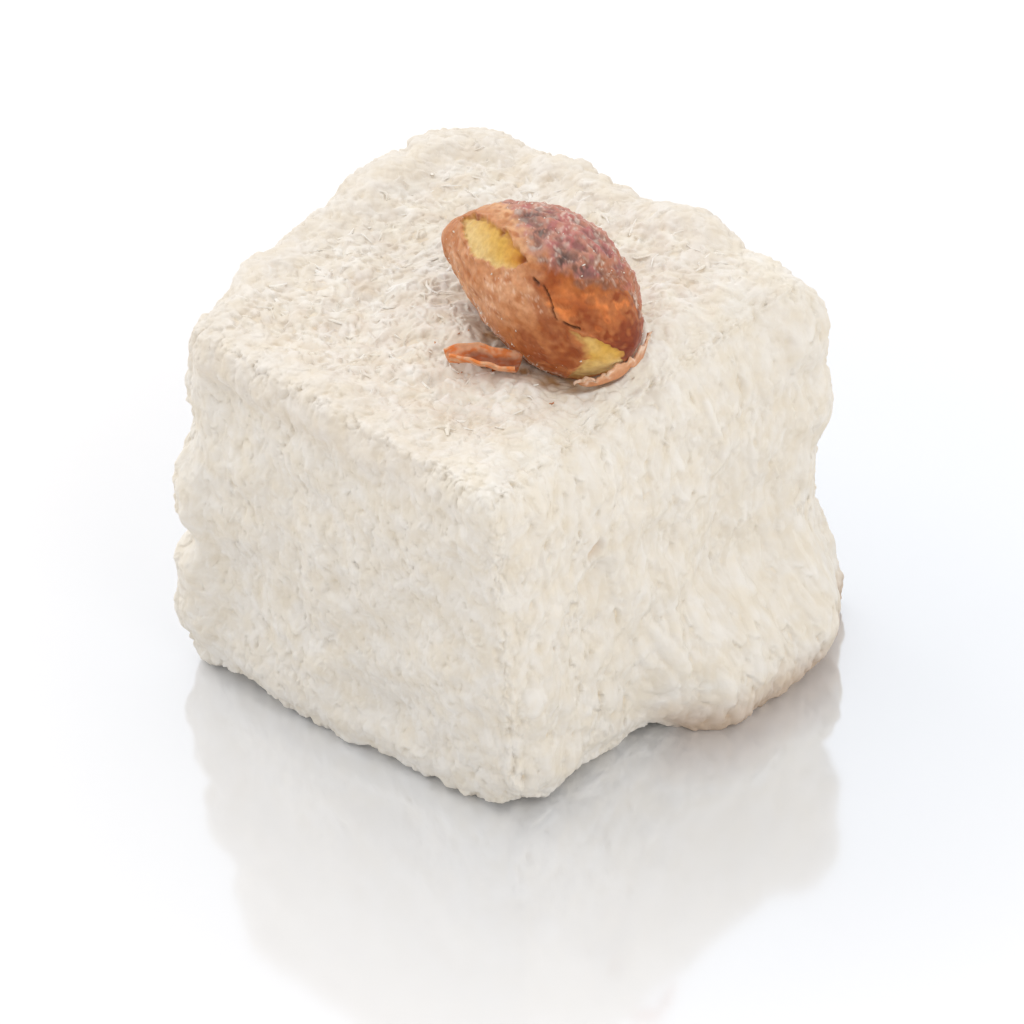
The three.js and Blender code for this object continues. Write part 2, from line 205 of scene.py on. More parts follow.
# The camera: the photograph's viewing angle, aimed at the piece, in degrees and millimetres.
CAMERA_AZIMUTH, CAMERA_ELEVATION, CAMERA_ROLL = 42.33, 37.35, -3.3
CAMERA_DISTANCE = 358.0
CAMERA_AIM = np.array([1.75, -2.83, 12.0])
CAMERA_LENS, CAMERA_SENSOR = 216.0, 36

# The floor, in millimetres: its colours far off and near the piece, the near one darker and bluish as
# painted shade, where near is, and how much of a mirror it is there at the most, how fast that falls off,
# its tint and its roughness.
FLOOR_RADIUS = 900.0
FLOOR_FAR, FLOOR_NEAR_SHADED = (0.972, 0.926, 0.878, 1), (0.733, 0.747, 0.778, 1)
NEAR_MIDDLE, NEAR_FROM, NEAR_TO = Vector((7, 5, 0)), 8, 86
MIRROR_MOST, MIRROR_FALL, MIRROR_TINT, MIRROR_ROUGHNESS = 0.5, 2.2, (0.93, 0.95, 0.985, 1), 0.09

# The sky's strength in front of the piece and behind it, and two lights: azimuth and elevation in degrees,
# distance and size in metres, power and colour. They look at a point in the block, at a height in metres.
SKY_COLOUR, SKY_FRONT, SKY_BACK = (0.975, 0.985, 1.0, 1), 0.775, 1.14
LIGHTS = {
    "window": (-84, 48, 0.4, 0.28, 0.5, (1.0, 0.98, 0.95)),
    "fill": (85, 36, 0.2, 0.16, 0.094, (1.0, 0.94, 0.84)),
}
LIGHT_AIM = Vector((0, 0, 0.012))

# How many kinds of cell the noise and the crumbs have: a power of 2.
HASHES = 256


def linear(red, green, blue):
    """An sRGB colour of 0 to 255 as linear red, green, blue and alpha."""
    c = np.array([red, green, blue]) / 255
    c = np.where(c <= 0.04045, c / 12.92, ((c + 0.055) / 1.055) ** 2.4)
    return (*c.tolist(), 1.0)


WHITE = linear(255, 255, 255)
COCONUT_WHITE = linear(235, 231, 225)
COCONUT_CREAM = linear(221, 214, 203)
# Warm cream at the lowest shade, reached in the deepest hollows as painted light and by some bits' tone.
COCONUT_DEEP = linear(241, 228, 206)
COCONUT_BEIGE = linear(250, 242, 225)
# Brown for real stains and the dust's tint, and for painted shade on the coat.
COCONUT_STAIN_AND_SHADE = linear(196, 155, 113)
NUT_GRAIN = linear(232, 224, 217)
NUT_COLOURS = {
    "tan": linear(200, 139, 96),
    "tan_pale": linear(222, 170, 132),
    # Pale flecks, painted as highlights on the tan skin and on the curl.
    "highlight_fleck": linear(232, 200, 176),
    "brown": linear(172, 96, 40),
    "deep": linear(140, 60, 14),
    "orange": linear(175, 104, 57),
    "bright": linear(226, 134, 70),
    "pink": linear(220, 170, 126),
    "purple": linear(190, 136, 118),
    "mauve": linear(178, 108, 106),
    "grey": linear(84, 66, 62),
    "dark": linear(114, 36, 10),
    "crack": linear(80, 40, 14),
    "kernel": linear(212, 166, 74),
    "kernel_pale": linear(223, 193, 130),
    "kernel_deep": linear(198, 126, 28),
    "dust": linear(234, 214, 200),
}


# Fields and small sums

def fade(distance):
    """One at a distance of 0, falling smoothly to nothing at a distance of 1."""
    left = np.maximum(0.0, 1.0 - distance ** 2)
    return left ** 2


def smooth_step(x, low, high):
    share = np.clip((x - low) / (high - low), 0, 1)
    return share * share * (3 - 2 * share)


def mix(a, b, share):
    return a + (b - a) * share


def unit(v):
    return v / np.maximum(np.linalg.norm(v, axis=-1, keepdims=True), 1e-12)


def cell_hash(order, cell):
    """A number below HASHES for each cell, mixed well from its three coordinates."""
    last = HASHES - 1
    mixed = order[cell[:, 0] & last]
    for k in (1, 2):
        mixed = order[(mixed + cell[:, k]) & last]
    return mixed


def noise(p, seed):
    """Gradient noise, about -1 to 1, with a cell of 1."""
    rng = np.random.default_rng(seed)
    order = rng.permutation(HASHES)
    slopes = unit(rng.normal(size=(HASHES, 3)))
    cell = np.floor(p).astype(int)
    part = p - cell
    ease = part ** 3 * (part * (part * 6 - 15) + 10)
    total = np.zeros(len(p))
    for corner in np.ndindex(2, 2, 2):
        pick = cell_hash(order, cell + corner)
        weight = np.prod(np.where(corner, ease, 1 - ease), axis=1)
        total += weight * (slopes[pick] * (part - corner)).sum(1)
    return 1.7 * total


def layered(p, layers):
    """Noise of several sizes summed up, from layers of a height, a size and a seed."""
    return sum(height * noise(p / size, seed) for height, size, seed in layers)


def lump_field(p, wavelength, seed):
    """A field of smooth lumps, about -1 to 1, from plane waves with directions spread over a sphere."""
    total = np.zeros(len(p))
    for k in range(WAVES):
        rise = 1 - (2 * k + 1) / WAVES
        flat = math.sqrt(1 - rise * rise)
        turn = GOLDEN_ANGLE * (k + seed)
        along = p @ np.array([flat * math.cos(turn), flat * math.sin(turn), rise])
        total += np.sin(2 * math.pi * along / wavelength + seed * (k + 1))
    return total / math.sqrt(WAVES)


def swell_at(p):
    total = np.zeros(len(p))
    for start, end, reach, height in SWELLS:
        line = np.subtract(end, start)
        share = np.clip(((p - start) @ line) / (line @ line), 0, 1)
        nearest = start + share[:, None] * line
        total += height * fade(np.linalg.norm(p - nearest, axis=1) / reach)
    return total


def inside_distance(points, outline):
    """How far points lie inside a closed outline, less than 0 outside. All are flat, in the same unit."""
    outline = np.asarray(outline, float)
    nearest = line_distance(points, np.concatenate([outline, outline[:1]]))
    inside = np.zeros(len(points), bool)
    for a, b in zip(outline, np.roll(outline, -1, axis=0)):
        crosses = (a[1] > points[:, 1]) != (b[1] > points[:, 1])
        rise = np.where(b[1] == a[1], 1e-9, b[1] - a[1])
        inside ^= crosses & (points[:, 0] < a[0] + (b[0] - a[0]) * (points[:, 1] - a[1]) / rise)
    return np.where(inside, nearest, -nearest)


def line_distance(points, path):
    """The distance of flat points from an open path."""
    path = np.asarray(path, float)
    nearest = np.full(len(points), np.inf)
    for a, b in zip(path[:-1], path[1:]):
        line = b - a
        share = np.clip(((points - a) @ line) / max(line @ line, 1e-12), 0, 1)
        nearest = np.minimum(nearest, np.linalg.norm(points - a - share[:, None] * line, axis=1))
    return nearest


# Meshes

def signed_volume(points, faces):
    first = points[faces[:, 0]]
    total = 0.0
    for k in range(1, faces.shape[1] - 1):
        total += (first * np.cross(points[faces[:, k]], points[faces[:, k + 1]])).sum()
    return total


def make_mesh(name, points, faces, material, values, smooth=True):
    """A piece that rides on the part: points in millimetres with named values or colours, and faces of one
    size, turned outwards."""
    if signed_volume(points, faces) < 0:
        faces = faces[:, ::-1]
    data = bpy.data.meshes.new(name)
    data.from_pydata(((points - PART_ORIGIN) * MM).tolist(), [], faces.tolist())
    if smooth:
        data.shade_smooth()
    for key, value in values.items():
        kind, field = ("FLOAT_COLOR", "color") if np.ndim(value) == 2 else ("FLOAT", "value")
        layer = data.attributes.new(key, kind, "POINT")
        layer.data.foreach_set(field, np.asarray(value, np.float32).ravel())
    data.materials.append(material)
    piece = bpy.data.objects.new(name, data)
    bpy.context.scene.collection.objects.link(piece)
    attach(piece, "root")
    return piece


# The block's surface

def block_point(q):
    """Surface points for points q of the cube from -1 to 1, and the directions their relief stands in."""
    half = BLOCK_SIZE / 2
    sharp = q * half
    inner = np.clip(sharp, EDGE_RADIUS - half, half - EDGE_RADIUS)
    out = unit(sharp - inner)
    p = inner + out * EDGE_RADIUS
    p[:, 2] += half[2]
    for corner, lean in CORNER_LEAN:
        share = np.prod((1 + np.array(corner) * q) / 2, axis=1)
        p = p + share[:, None] * np.array(lean)
    relief = swell_at(p)
    for wavelength, height, seed in LUMPS:
        relief += height * lump_field(p, wavelength, seed)
    return p + out * relief[:, None], out


def crumbs(p, seed):
    """Rounded crumbs packed side by side: the height of points, from 0 to about 1, and each crumb's tone."""
    rng = np.random.default_rng(seed)
    order = rng.permutation(HASHES)
    middles = rng.uniform(0.1, 0.9, (HASHES, 3))
    reach = rng.uniform(0.5, 1.0, HASHES)
    tones = rng.uniform(0, 1, HASHES)
    q = p / CRUMB_SIZE
    q = q + 0.3 * np.stack([noise(2 * q, seed + k) for k in range(3)], 1)
    cell = np.floor(q).astype(int)
    height = np.zeros(len(p))
    tone = np.full(len(p), 0.5)
    for offset in np.ndindex(3, 3, 3):
        at = cell + offset - 1
        pick = cell_hash(order, at)
        away = np.linalg.norm(q - at - middles[pick], axis=1) / reach[pick]
        rise = reach[pick] * np.sqrt(np.maximum(1 - away ** 2, 0))
        tone = np.where(rise > height, tones[pick], tone)
        height = np.maximum(height, rise)
    return height, tone


def crumbly(p, out):
    """How far the coat is loose crumbs: 1 on the middle of the top, and 0 on its rim and on the sides."""
    from_edge = np.min(BLOCK_SIZE[:2] / 2 - np.abs(p[:, :2]), axis=1)
    from_edge = np.minimum(from_edge, BLOCK_SIZE[0] / 2 - RIGHT_RIM - p[:, 0])
    faces_up = smooth_step(out[:, 2], 0.55, 0.9)
    return faces_up * smooth_step(from_edge + RIM_RAGGED * noise(p / 2.4, 14), RIM_FROM, RIM_TO)


def in_dimple(p):
    """1 in the middle of the dimple, falling to 0 around it."""
    return fade(np.linalg.norm(p - DIMPLE_PLACE, axis=1) / DIMPLE_REACH)


def felt(p, out):
    """The coat's unevenness: soft hollows, crumbs, and pits on its sides. Also each crumb's tone."""
    loose = crumbly(p, out)
    on_edge = 1 - smooth_step(np.abs(out).max(1), 0.72, 0.97)
    height, tone = crumbs(p, 21)
    lumps = (height - 0.5) * mix(mix(SIDE_CRUMB_RISE, TOP_CRUMB_RISE, loose), EDGE_CRUMB_RISE, on_edge)
    lumps += (crumbs(p / FINE_CRUMBS, 23)[0] - 0.5) * mix(FINE_RISE, FINE_EDGE_RISE, on_edge)
    pits = PIT_DEPTH * smooth_step(noise(p / PIT_SPACING, 13), 0.6, 0.9)
    bed = mix(SIDE_BED + pits, TOP_BED, loose)
    return layered(p, COAT_HOLLOWS) + lumps - bed - DIMPLE_DEPTH * in_dimple(p), tone


def coat_point(q):
    """The coat before any shreds are laid on it, flat on the floor: points, outward directions and tones."""
    p, out = block_point(q)
    relief, tone = felt(p, out)
    p = p + out * relief[:, None]
    under = out[:, 2] < -0.999
    p[:, 2] = np.where(under, 0, np.maximum(p[:, 2], 0))
    return p, out, tone


def stand_on_top(top, uv):
    """Places on the top of the coat: points, outward directions, and directions back and right along it."""
    normal, up, right = face_axes((0, 0, 1))
    q = normal + uv[:, :1] * right + uv[:, 1:] * up
    step = 0.03
    ahead = unit(block_point(q + step * up)[0] - block_point(q - step * up)[0])
    beside = block_point(q + step * right)[0] - block_point(q - step * right)[0]
    out = unit(np.cross(beside, ahead))
    last = np.array(top["shade"].shape) - 1
    row, column = np.round((uv[:, ::-1] + 1) / 2 * last).astype(int).T
    return top["points"][row, column], out, ahead, np.cross(ahead, out)


def even_places(count, rng):
    """Places from -1 to 1 both ways, spread evenly and then shaken a little."""
    k = np.arange(1, count + 1)[:, None]
    shaken = (k * EVEN_SPREAD + rng.uniform(-0.4, 0.4, (count, 2)) / math.sqrt(count)) % 1
    return 2 * shaken - 1


# The nut's surface

def nut_turn():
    turn = Matrix.Rotation(NUT_YAW, 3, "Z") @ Matrix.Rotation(NUT_PITCH, 3, "Y")
    return np.array(turn)


def nut_profile(along):
    """The nut's taper at a share of its length from -1 to 1, and how far its middle line is bent there."""
    round_off = 1 - along ** 2
    taper = round_off ** NUT_POINTED * (1 + NUT_FULLER * along)
    return taper, NUT_BEND * (1 - along) * round_off


def nut_point(along, around, rise):
    """The nut's surface at a share of its length and an angle around it, raised off the kernel."""
    taper, bend = nut_profile(along)
    out = rise * np.minimum(1, 3 * taper)
    local = np.stack([
        along * NUT_LENGTH / 2,
        (taper * NUT_WIDTH / 2 + out) * np.cos(around) + bend,
        (taper * NUT_HEIGHT / 2 + out) * np.sin(around) + bend,
    ], -1)
    return local @ nut_turn().T + NUT_MIDDLE


def nut_level(p, clearance):
    """Below 1 inside the nut grown by a clearance, above 1 outside."""
    local = (p - NUT_MIDDLE) @ nut_turn()
    along = np.clip(local[:, 0] / (NUT_LENGTH / 2 + clearance), -1, 1)
    taper, bend = nut_profile(along)
    wide = taper * NUT_WIDTH / 2 + clearance
    high = taper * NUT_HEIGHT / 2 + clearance
    level = np.hypot((local[:, 1] - bend) / wide, (local[:, 2] - bend) / high)
    return np.where(np.abs(along) < 1, level, 9.0)


def flake_level(p):
    """Below 1 in the room of the loose flake."""
    turn = np.array(Matrix.Rotation(FLAKE_TURN, 3, "Z"))
    local = (p - FLAKE_MIDDLE - np.array([0, 0, 0.6])) @ turn
    room = np.array([FLAKE_LENGTH / 2, FLAKE_WIDTH / 2, 0.7])
    return np.linalg.norm(local / room, axis=1)


def clear_of_nut(p, room=0.1):
    """Whether points keep clear of the nut, its curl and its flake."""
    near_curl = p[:, 0] > NUT_MIDDLE[0] + 0.7 * NUT_LENGTH / 2
    clearance = SKIN_RISE + room + np.where(near_curl, CURL_AWAY[1], 0.0)
    return (nut_level(p, clearance) > 1) & (flake_level(p) > 1)


# Coconut

def shred_points(rng, kind, centre, along, up, length, width, thickness):
    """Rings of corners around a middle line that is bowed and bent a little."""
    count, rings, corners = len(centre), len(kind["rings"]), len(kind["section"])
    place = np.linspace(-0.5, 0.5, rings)
    side = unit(np.cross(along, up))
    up = np.cross(side, along)
    bow = rng.normal(0, 0.5 * kind["bend"], count) * length
    swerve = rng.normal(0, kind["bend"], count) * length
    arch = 1 - 4 * place ** 2
    taper = np.array(kind["rings"]) * rng.uniform(0.8, 1.2, (count, rings))
    corner = kind["section"] + rng.uniform(-1, 1, (count, rings, corners, 2)) * kind["ragged"]
    middle = (centre[:, None] + along[:, None] * (place * length[:, None])[..., None]
              + up[:, None] * (arch * bow[:, None])[..., None]
              + side[:, None] * (arch * swerve[:, None])[..., None])
    sideways = corner[..., 0] * (taper * width[:, None] / 2)[..., None]
    upwards = corner[..., 1] * (taper * thickness[:, None] / 2)[..., None]
    points = (middle[:, :, None] + side[:, None, None] * sideways[..., None]
              + up[:, None, None] * upwards[..., None]).reshape(-1, 3)
    points[:, 2] = np.maximum(points[:, 2], 0.02)
    return points


def shred_faces(kind, count):
    """Triangles of the rings, and fans over both ends."""
    n, rings = len(kind["section"]), len(kind["rings"])
    one = []
    for r in range(rings - 1):
        for c in range(n):
            a, b = r * n + c, r * n + (c + 1) % n
            one += [[a, b, b + n], [a, b + n, a + n]]
    last = (rings - 1) * n
    for c in range(1, n - 1):
        one += [[0, c + 1, c], [last, last + c, last + c + 1]]
    return (np.arange(count)[:, None, None] * n * rings + np.array(one)).reshape(-1, 3)


def face_axes(normal):
    """A face's outward direction, its direction up, and its direction to the right seen from outside."""
    normal = np.array(normal, float)
    up = np.array([0, 1.0, 0]) if normal[2] else np.array([0, 0, 1.0])
    return normal, up, np.cross(up, normal)


def lay_bits(rng, heights, shades, right, up, kind, turns):
    """Lays rounded bits on a face's height map, each over what lies there already."""
    count = kind["count"]
    spots = even_places(count, rng) * [right[-1], up[-1]]
    sizes = {key: rng.uniform(*kind[key], count) for key in ("length", "width", "rise")}
    bends = rng.normal(0, kind["bend"], count)
    tones = rng.uniform(0, 1, count)
    slopes = rng.normal(0, BIT_TIP, count)
    for k, (x0, y0) in enumerate(spots):
        half_length, half_width = sizes["length"][k] / 2, sizes["width"][k] / 2
        reach = half_length + half_width
        columns = slice(*np.searchsorted(right, [x0 - reach, x0 + reach]))
        rows = slice(*np.searchsorted(up, [y0 - reach, y0 + reach]))
        dx, dy = right[columns] - x0, up[rows, None] - y0
        along = (dx * math.sin(turns[k]) + dy * math.cos(turns[k])) / half_length
        across = dx * math.cos(turns[k]) - dy * math.sin(turns[k]) - bends[k] * half_length * along ** 2
        body = 1 - (across / half_width) ** 2 - along ** 4
        rests_on = heights[np.searchsorted(up, y0) - 1, np.searchsorted(right, x0) - 1]
        level = BIT_REST * rests_on + slopes[k] * along + sizes["rise"][k] * np.sqrt(np.maximum(body, 0))
        covers = (body > 0) & (level > heights[rows, columns])
        heights[rows, columns] = np.where(covers, level, heights[rows, columns])
        shades[rows, columns] = np.where(covers, tones[k], shades[rows, columns])


def blur(values, reach):
    """Each value averaged with its neighbours, up to a number of steps away both up and across."""
    for axis, steps in enumerate(reach):
        n = values.shape[axis]
        room = [(0, 0), (0, 0)]
        room[axis] = (steps + 1, steps)
        total = np.pad(values, room, "edge").cumsum(axis)
        far = total.take(range(2 * steps + 1, 2 * steps + 1 + n), axis)
        values = (far - total.take(range(n), axis)) / (2 * steps + 1)
    return values


def edge_fill(block):
    """How high the coconut lies on the edges between faces, the same on both of them."""
    return EDGE_FILL * crumbs(block / EDGE_CRUMBS, 17)[0]


def coat_bits(name, right, up, loose, fill):
    """Height and tone of the bits on a face, lower on the top's rim and running out at the face's edges."""
    rng = np.random.default_rng(len(name) + ord(name[0]))
    heights = np.zeros((len(up), len(right)))
    tones = np.full_like(heights, np.nan)
    if name == "top":
        for kind in (TOP_CHIPS, TOP_SHREDS):
            lay_bits(rng, heights, tones, right, up, kind, rng.uniform(-math.pi, math.pi, kind["count"]))
        heights = heights * mix(RIM_BITS, 1, loose)
    else:
        spread = STRAND_SPREAD[name]
        kinds = [(SIDE_STRANDS, spread), (SIDE_CHIPS, CHIP_SPREAD), (SIDE_HAIRS, HAIR_SPREAD * spread)]
        if name in CLUMPED_SIDES:
            kinds.insert(0, (SIDE_CLUMPS, spread))
        for kind, turn in kinds:
            lay_bits(rng, heights, tones, right, up, kind, rng.normal(0, turn, kind["count"]))
        heights = heights * STRANDS_STAND[name]
    edge = np.minimum((right[-1] - np.abs(right)), (up[-1] - np.abs(up))[:, None])
    over_edge = fill * (1 - smooth_step(edge, 0.2, EDGE_SPREAD))
    kept = mix(EDGE_BITS, 1, smooth_step(edge, EDGE_STRIP, EDGE_REACH))
    heights = np.maximum(heights * kept, over_edge)
    return mix(fill, heights, smooth_step(edge, 0, EDGE_STRIP)), tones


def clear_nut(p, out):
    """Top points that lie inside the nut, moved down below it."""
    bed = (nut_level(p, SKIN_RISE) < 1) & (out[:, 2] > 0.5)
    local = (p - NUT_MIDDLE) @ nut_turn()
    along = np.clip(local[:, 0] / (NUT_LENGTH / 2), -0.99, 0.99)
    taper, bend = nut_profile(along)
    off = np.clip((local[:, 1] - bend) / (taper * NUT_WIDTH / 2 + SKIN_RISE), -1, 1)
    depth = (taper * NUT_HEIGHT / 2 + SKIN_RISE) * np.sqrt(1 - off ** 2) - bend
    low = NUT_MIDDLE[2] - depth - 0.1 - along * NUT_PITCH * NUT_LENGTH / 2
    p[:, 2] = np.where(bed, np.minimum(p[:, 2], low), p[:, 2])
    return p


def low_on_belly(p):
    """1 low on the belly of the right face, falling to 0 around it."""
    return smooth_step(BELLY_TOP - p[:, 2], 0, BELLY_FADE) * smooth_step(p[:, 0], BELLY_FROM, BELLY_TO)


def rough_belly(p, out):
    """Points with larger crumbs low on the belly, where the coat is stretched."""
    rise = BELLY_CRUMBS * (crumbs(p / BELLY_CRUMB_SIZE, 25)[0] - 0.4)
    return p + out * (rise * low_on_belly(p))[:, None]


def coat_stain_and_shade(block, p, loose, by_nut, by_flake):
    """How brown the coat is: painted brown shade by the nut and the flake, on the rim, on the belly and in
    the dimple, and real brown spots on top.
    """
    rim = smooth_step(block[:, 2], 19.5, 23) * (1 - loose) * (1 - smooth_step(block[:, 0], 5, 10))
    stains_and_shades = [
        # Painted brown shade around the nut and the flake.
        np.maximum(by_nut, FLAKE_PAINTED_SHADE * by_flake) * (0.65 + 0.55 * noise(block / 0.6, 15)),
        # Real brown spots on top, and painted shade on the rim's left part.
        loose * (0.1 + 0.16 * noise(block / 1.2, 16)) + RIM_PAINTED_SHADE * rim,
        # Painted shade low on the belly and in the dimple.
        BELLY_PAINTED_SHADE * low_on_belly(p) + DIMPLE_PAINTED_SHADE * in_dimple(block),
    ]
    return np.clip(np.maximum.reduce(stains_and_shades), 0, 1)


def coat_face(name, normal):
    """One face of the coat as a grid of points, with their normals, their shades, partly painted light, and
    their stains, partly painted shade.
    """
    normal, up_way, right_way = face_axes(normal)
    rows = COAT_ACROSS if name == "top" else COAT_UP
    shape = (rows + 1, COAT_ACROSS + 1)
    u, v = np.linspace(-1, 1, COAT_ACROSS + 1), np.linspace(-1, 1, rows + 1)
    right, up = u * abs(right_way @ BLOCK_SIZE) / 2, v * abs(up_way @ BLOCK_SIZE) / 2
    q = (normal + v[:, None, None] * up_way + u[None, :, None] * right_way).reshape(-1, 3)
    block = block_point(q)[0]
    p, out, tone = coat_point(q)
    loose = crumbly(block, out)
    fill = edge_fill(block).reshape(shape)
    heights, bit_tones = coat_bits(name, right, up, loose.reshape(shape), fill)
    p = p + out * heights.reshape(-1, 1)
    by_nut = fade(np.maximum(nut_level(p, SKIN_RISE) - 1, 0) / DENT_AND_SHADE_REACH)
    by_flake = fade(np.maximum(flake_level(p) - 0.8, 0))
    p = rough_belly(p - out * (NUT_DENT * by_nut)[:, None], out)
    p[:, 2] = np.maximum(p[:, 2], 0)
    height = ((p - block) * out).sum(1).reshape(shape)
    reach = [round(SHADE_REACH / (line[1] - line[0])) for line in (up, right)]
    proud = (height - blur(height, reach)).ravel()
    tone = np.where(np.isnan(bit_tones), tone.reshape(shape), bit_tones).ravel()
    # Each bit's own tone, plus painted light by height: crests whiter, hollows creamier.
    shade = SHADE_MEAN + mix(SIDE_TONES, TOP_TONES, loose) * (tone - 0.5) + PAINTED_LIGHT_BY_HEIGHT * proud
    # Real brown spots, and painted brown shade by the nut, the flake, the rim, the belly and the dimple.
    stain_and_shade = coat_stain_and_shade(block, p, loose, by_nut, by_flake)
    grid = clear_nut(p, out).reshape(*shape, 3)
    return {"points": grid, "normals": np.cross(np.gradient(grid, axis=1), np.gradient(grid, axis=0)),
            "shade": shade.reshape(shape), "stain_and_shade": stain_and_shade.reshape(shape)}


def coat_under(sides):
    """The underside as rings, from the lower edges of the sides to the flat middle."""
    u = np.linspace(-1, 1, COAT_ACROSS + 1)[:-1]
    around = []
    for normal in sides.values():
        normal, _, right_way = face_axes(normal)
        around.append(normal + u[:, None] * right_way)
    around = np.concatenate(around)
    rings = np.stack([around * k for k in UNDER_RINGS])
    rings[..., 2] = -1
    q = rings.reshape(-1, 3)
    p, out, tone = coat_point(q)
    p = rough_belly(p + out * edge_fill(block_point(q)[0])[:, None], out)
    p[:, 2] = np.maximum(p[:, 2], 0)
    # Low on the belly the brown is painted shade.
    shade, stain_and_shade = SHADE_MEAN + SIDE_TONES * (tone - 0.5), BELLY_PAINTED_SHADE * low_on_belly(p)
    p = p.reshape(rings.shape)
    across = np.roll(p, -1, axis=1) - np.roll(p, 1, axis=1)
    return {"points": p, "normals": np.cross(np.gradient(p, axis=0), across),
            "shade": shade.reshape(p.shape[:2]), "stain_and_shade": stain_and_shade.reshape(p.shape[:2])}


def share_edges(faces):
    """Gives points that lie on the edge of several faces one normal, so that no edge shows."""
    points = np.concatenate([face["points"].reshape(-1, 3) for face in faces])
    normals = unit(np.concatenate([face["normals"].reshape(-1, 3) for face in faces]))
    _, where = np.unique(np.round(points, 5), axis=0, return_inverse=True)
    where = where.reshape(-1)
    total = np.zeros((where.max() + 1, 3))
    np.add.at(total, where, normals)
    ends = np.cumsum([face["shade"].size for face in faces])
    for face, shared in zip(faces, np.split(unit(total)[where], ends[:-1])):
        face["normals"] = shared.reshape(face["points"].shape)


def grid_faces(rows, columns, closed=False):
    """Triangles of a grid of points, its columns joined up round or not, and the loop of its outer edge."""
    index = np.arange(rows * columns).reshape(rows, columns)
    if closed:
        index = np.concatenate([index, index[:, :1]], 1)
    a, b, c, d = [part.ravel() for part in (index[:-1, :-1], index[:-1, 1:], index[1:, 1:], index[1:, :-1])]
    triangles = np.concatenate([np.stack([a, b, c], 1), np.stack([a, c, d], 1)])
    if closed:
        return triangles, index[0, :-1]
    return triangles, np.concatenate([index[0], index[1:, -1], index[-1, -2::-1], index[-2:0:-1, 0]])


def coat_piece(name, face, material):
    """A face of the coat made solid: its edge runs back to the middle of the block."""
    rows, columns = face["shade"].shape
    is_under = name == "under"
    triangles, edge = grid_faces(rows, columns, closed=is_under)
    apex = rows * columns
    points = np.concatenate([face["points"].reshape(-1, 3), [COAT_MIDDLE]])
    normals = np.concatenate([face["normals"].reshape(-1, 3), [[0, 0, 1]]])
    values = {key: np.append(face[key].ravel(), 0.5) for key in ("shade", "stain_and_shade")}
    walls = [np.stack([np.roll(edge, -1), edge, np.full_like(edge, apex)], 1)]
    if is_under:
        inner = edge + (rows - 1) * columns
        points = np.concatenate([points, [[0, 0, 0]]])
        normals = np.concatenate([normals, [[0, 0, -1]]])
        values = {key: np.append(value, 0.5) for key, value in values.items()}
        walls.append(np.stack([inner, np.roll(inner, -1), np.full_like(inner, apex + 1)], 1))
    triangles = np.concatenate([triangles, *walls])
    piece = make_mesh("coconut_" + name, points, triangles, material, values)
    piece.data.normals_split_custom_set_from_vertices(normals.tolist())
    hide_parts("block")


def coat_faces():
    """The coat's faces by name."""
    ways = {**COAT_SIDES, "top": (0, 0, 1)}
    faces = {name: coat_face(name, normal) for name, normal in ways.items()}
    faces["under"] = coat_under(COAT_SIDES)
    share_edges(list(faces.values()))
    return faces


def coconut_coat(faces, material):
    """The coat's pieces: one for each face, but two for the top, cut across its middle row."""
    for name, face in faces.items():
        middle = len(face["points"]) // 2
        cuts = {name: slice(None)}
        if name == "top":
            cuts = {"top_front": slice(0, middle + 1), "top_back": slice(middle, None)}
        for piece, rows in cuts.items():
            coat_piece(piece, {key: value[rows] for key, value in face.items()}, material)


def shreds_on_top(name, seed, kind, top, material):
    """Separate shreds that lie loose on top, any way round, without those that would touch the nut."""
    rng = np.random.default_rng(seed)
    count = kind["count"]
    p, out, up, right = stand_on_top(top, even_places(count, rng) * SHREDS_COVER)
    turn = rng.uniform(-math.pi, math.pi, (count, 1))
    flat = up * np.cos(turn) + right * np.sin(turn)
    along = unit(flat + out * rng.normal(0, SHREDS_TILT, (count, 1)))
    centre = p + out * rng.uniform(*SHREDS_LIFT, (count, 1))
    keys = ("length", "width", "thickness", "shade")
    length, width, thickness, shade = [rng.uniform(*kind[key], count) for key in keys]
    reach = along * (0.4 * length)[:, None]
    keep = np.all([clear_of_nut(centre + way * reach, SHREDS_CLEAR) for way in (-1, 0, 1)], axis=0)
    kept = [value[keep] for value in (centre, along, out, length, width, thickness)]
    points = shred_points(rng, kind, *kept)
    faces = shred_faces(kind, int(keep.sum()))
    shade = np.repeat(shade[keep], len(kind["section"]) * len(kind["rings"]))
    values = {"shade": shade, "stain_and_shade": np.zeros(len(shade))}
    return make_mesh(name, points, faces, material, values, smooth=False)


# The nut and its skin

def nut_grid():
    """Shares along and angles around for a closed grid with a point at each tip, and its triangles."""
    rows, n = NUT_STEPS_ALONG - 1, NUT_STEPS_AROUND
    polar = np.linspace(0, math.pi, NUT_STEPS_ALONG + 1)[1:-1]
    turn = NUT_SEAM + 2 * math.pi * np.arange(n) / n
    along, around = [v.ravel() for v in np.meshgrid(-np.cos(polar), turn, indexing="ij")]
    body, ring = grid_faces(rows, n, closed=True)
    after, last = np.roll(ring, -1), (rows - 1) * n
    low_tip = np.stack([np.full(n, rows * n), after, ring], 1)
    high_tip = np.stack([np.full(n, rows * n + 1), last + ring, last + after], 1)
    return np.append(along, [-1, 1]), np.append(around, [0, 0]), np.concatenate([body, low_tip, high_tip])


def flat_nut(along, around):
    """The nut's surface rolled out flat, in millimetres."""
    return np.stack([np.asarray(along) * NUT_LENGTH / 2, np.asarray(around) * NUT_WIDTH / 2], -1)


def near_path(flat, path):
    return line_distance(flat, flat_nut(*np.transpose(path)))


def spots(flat, places, reach):
    """One at each of some places, falling off within a reach in millimetres."""
    away = [np.linalg.norm(flat - flat_nut(*place), axis=1) for place in places]
    return fade(np.minimum.reduce(away) / reach)


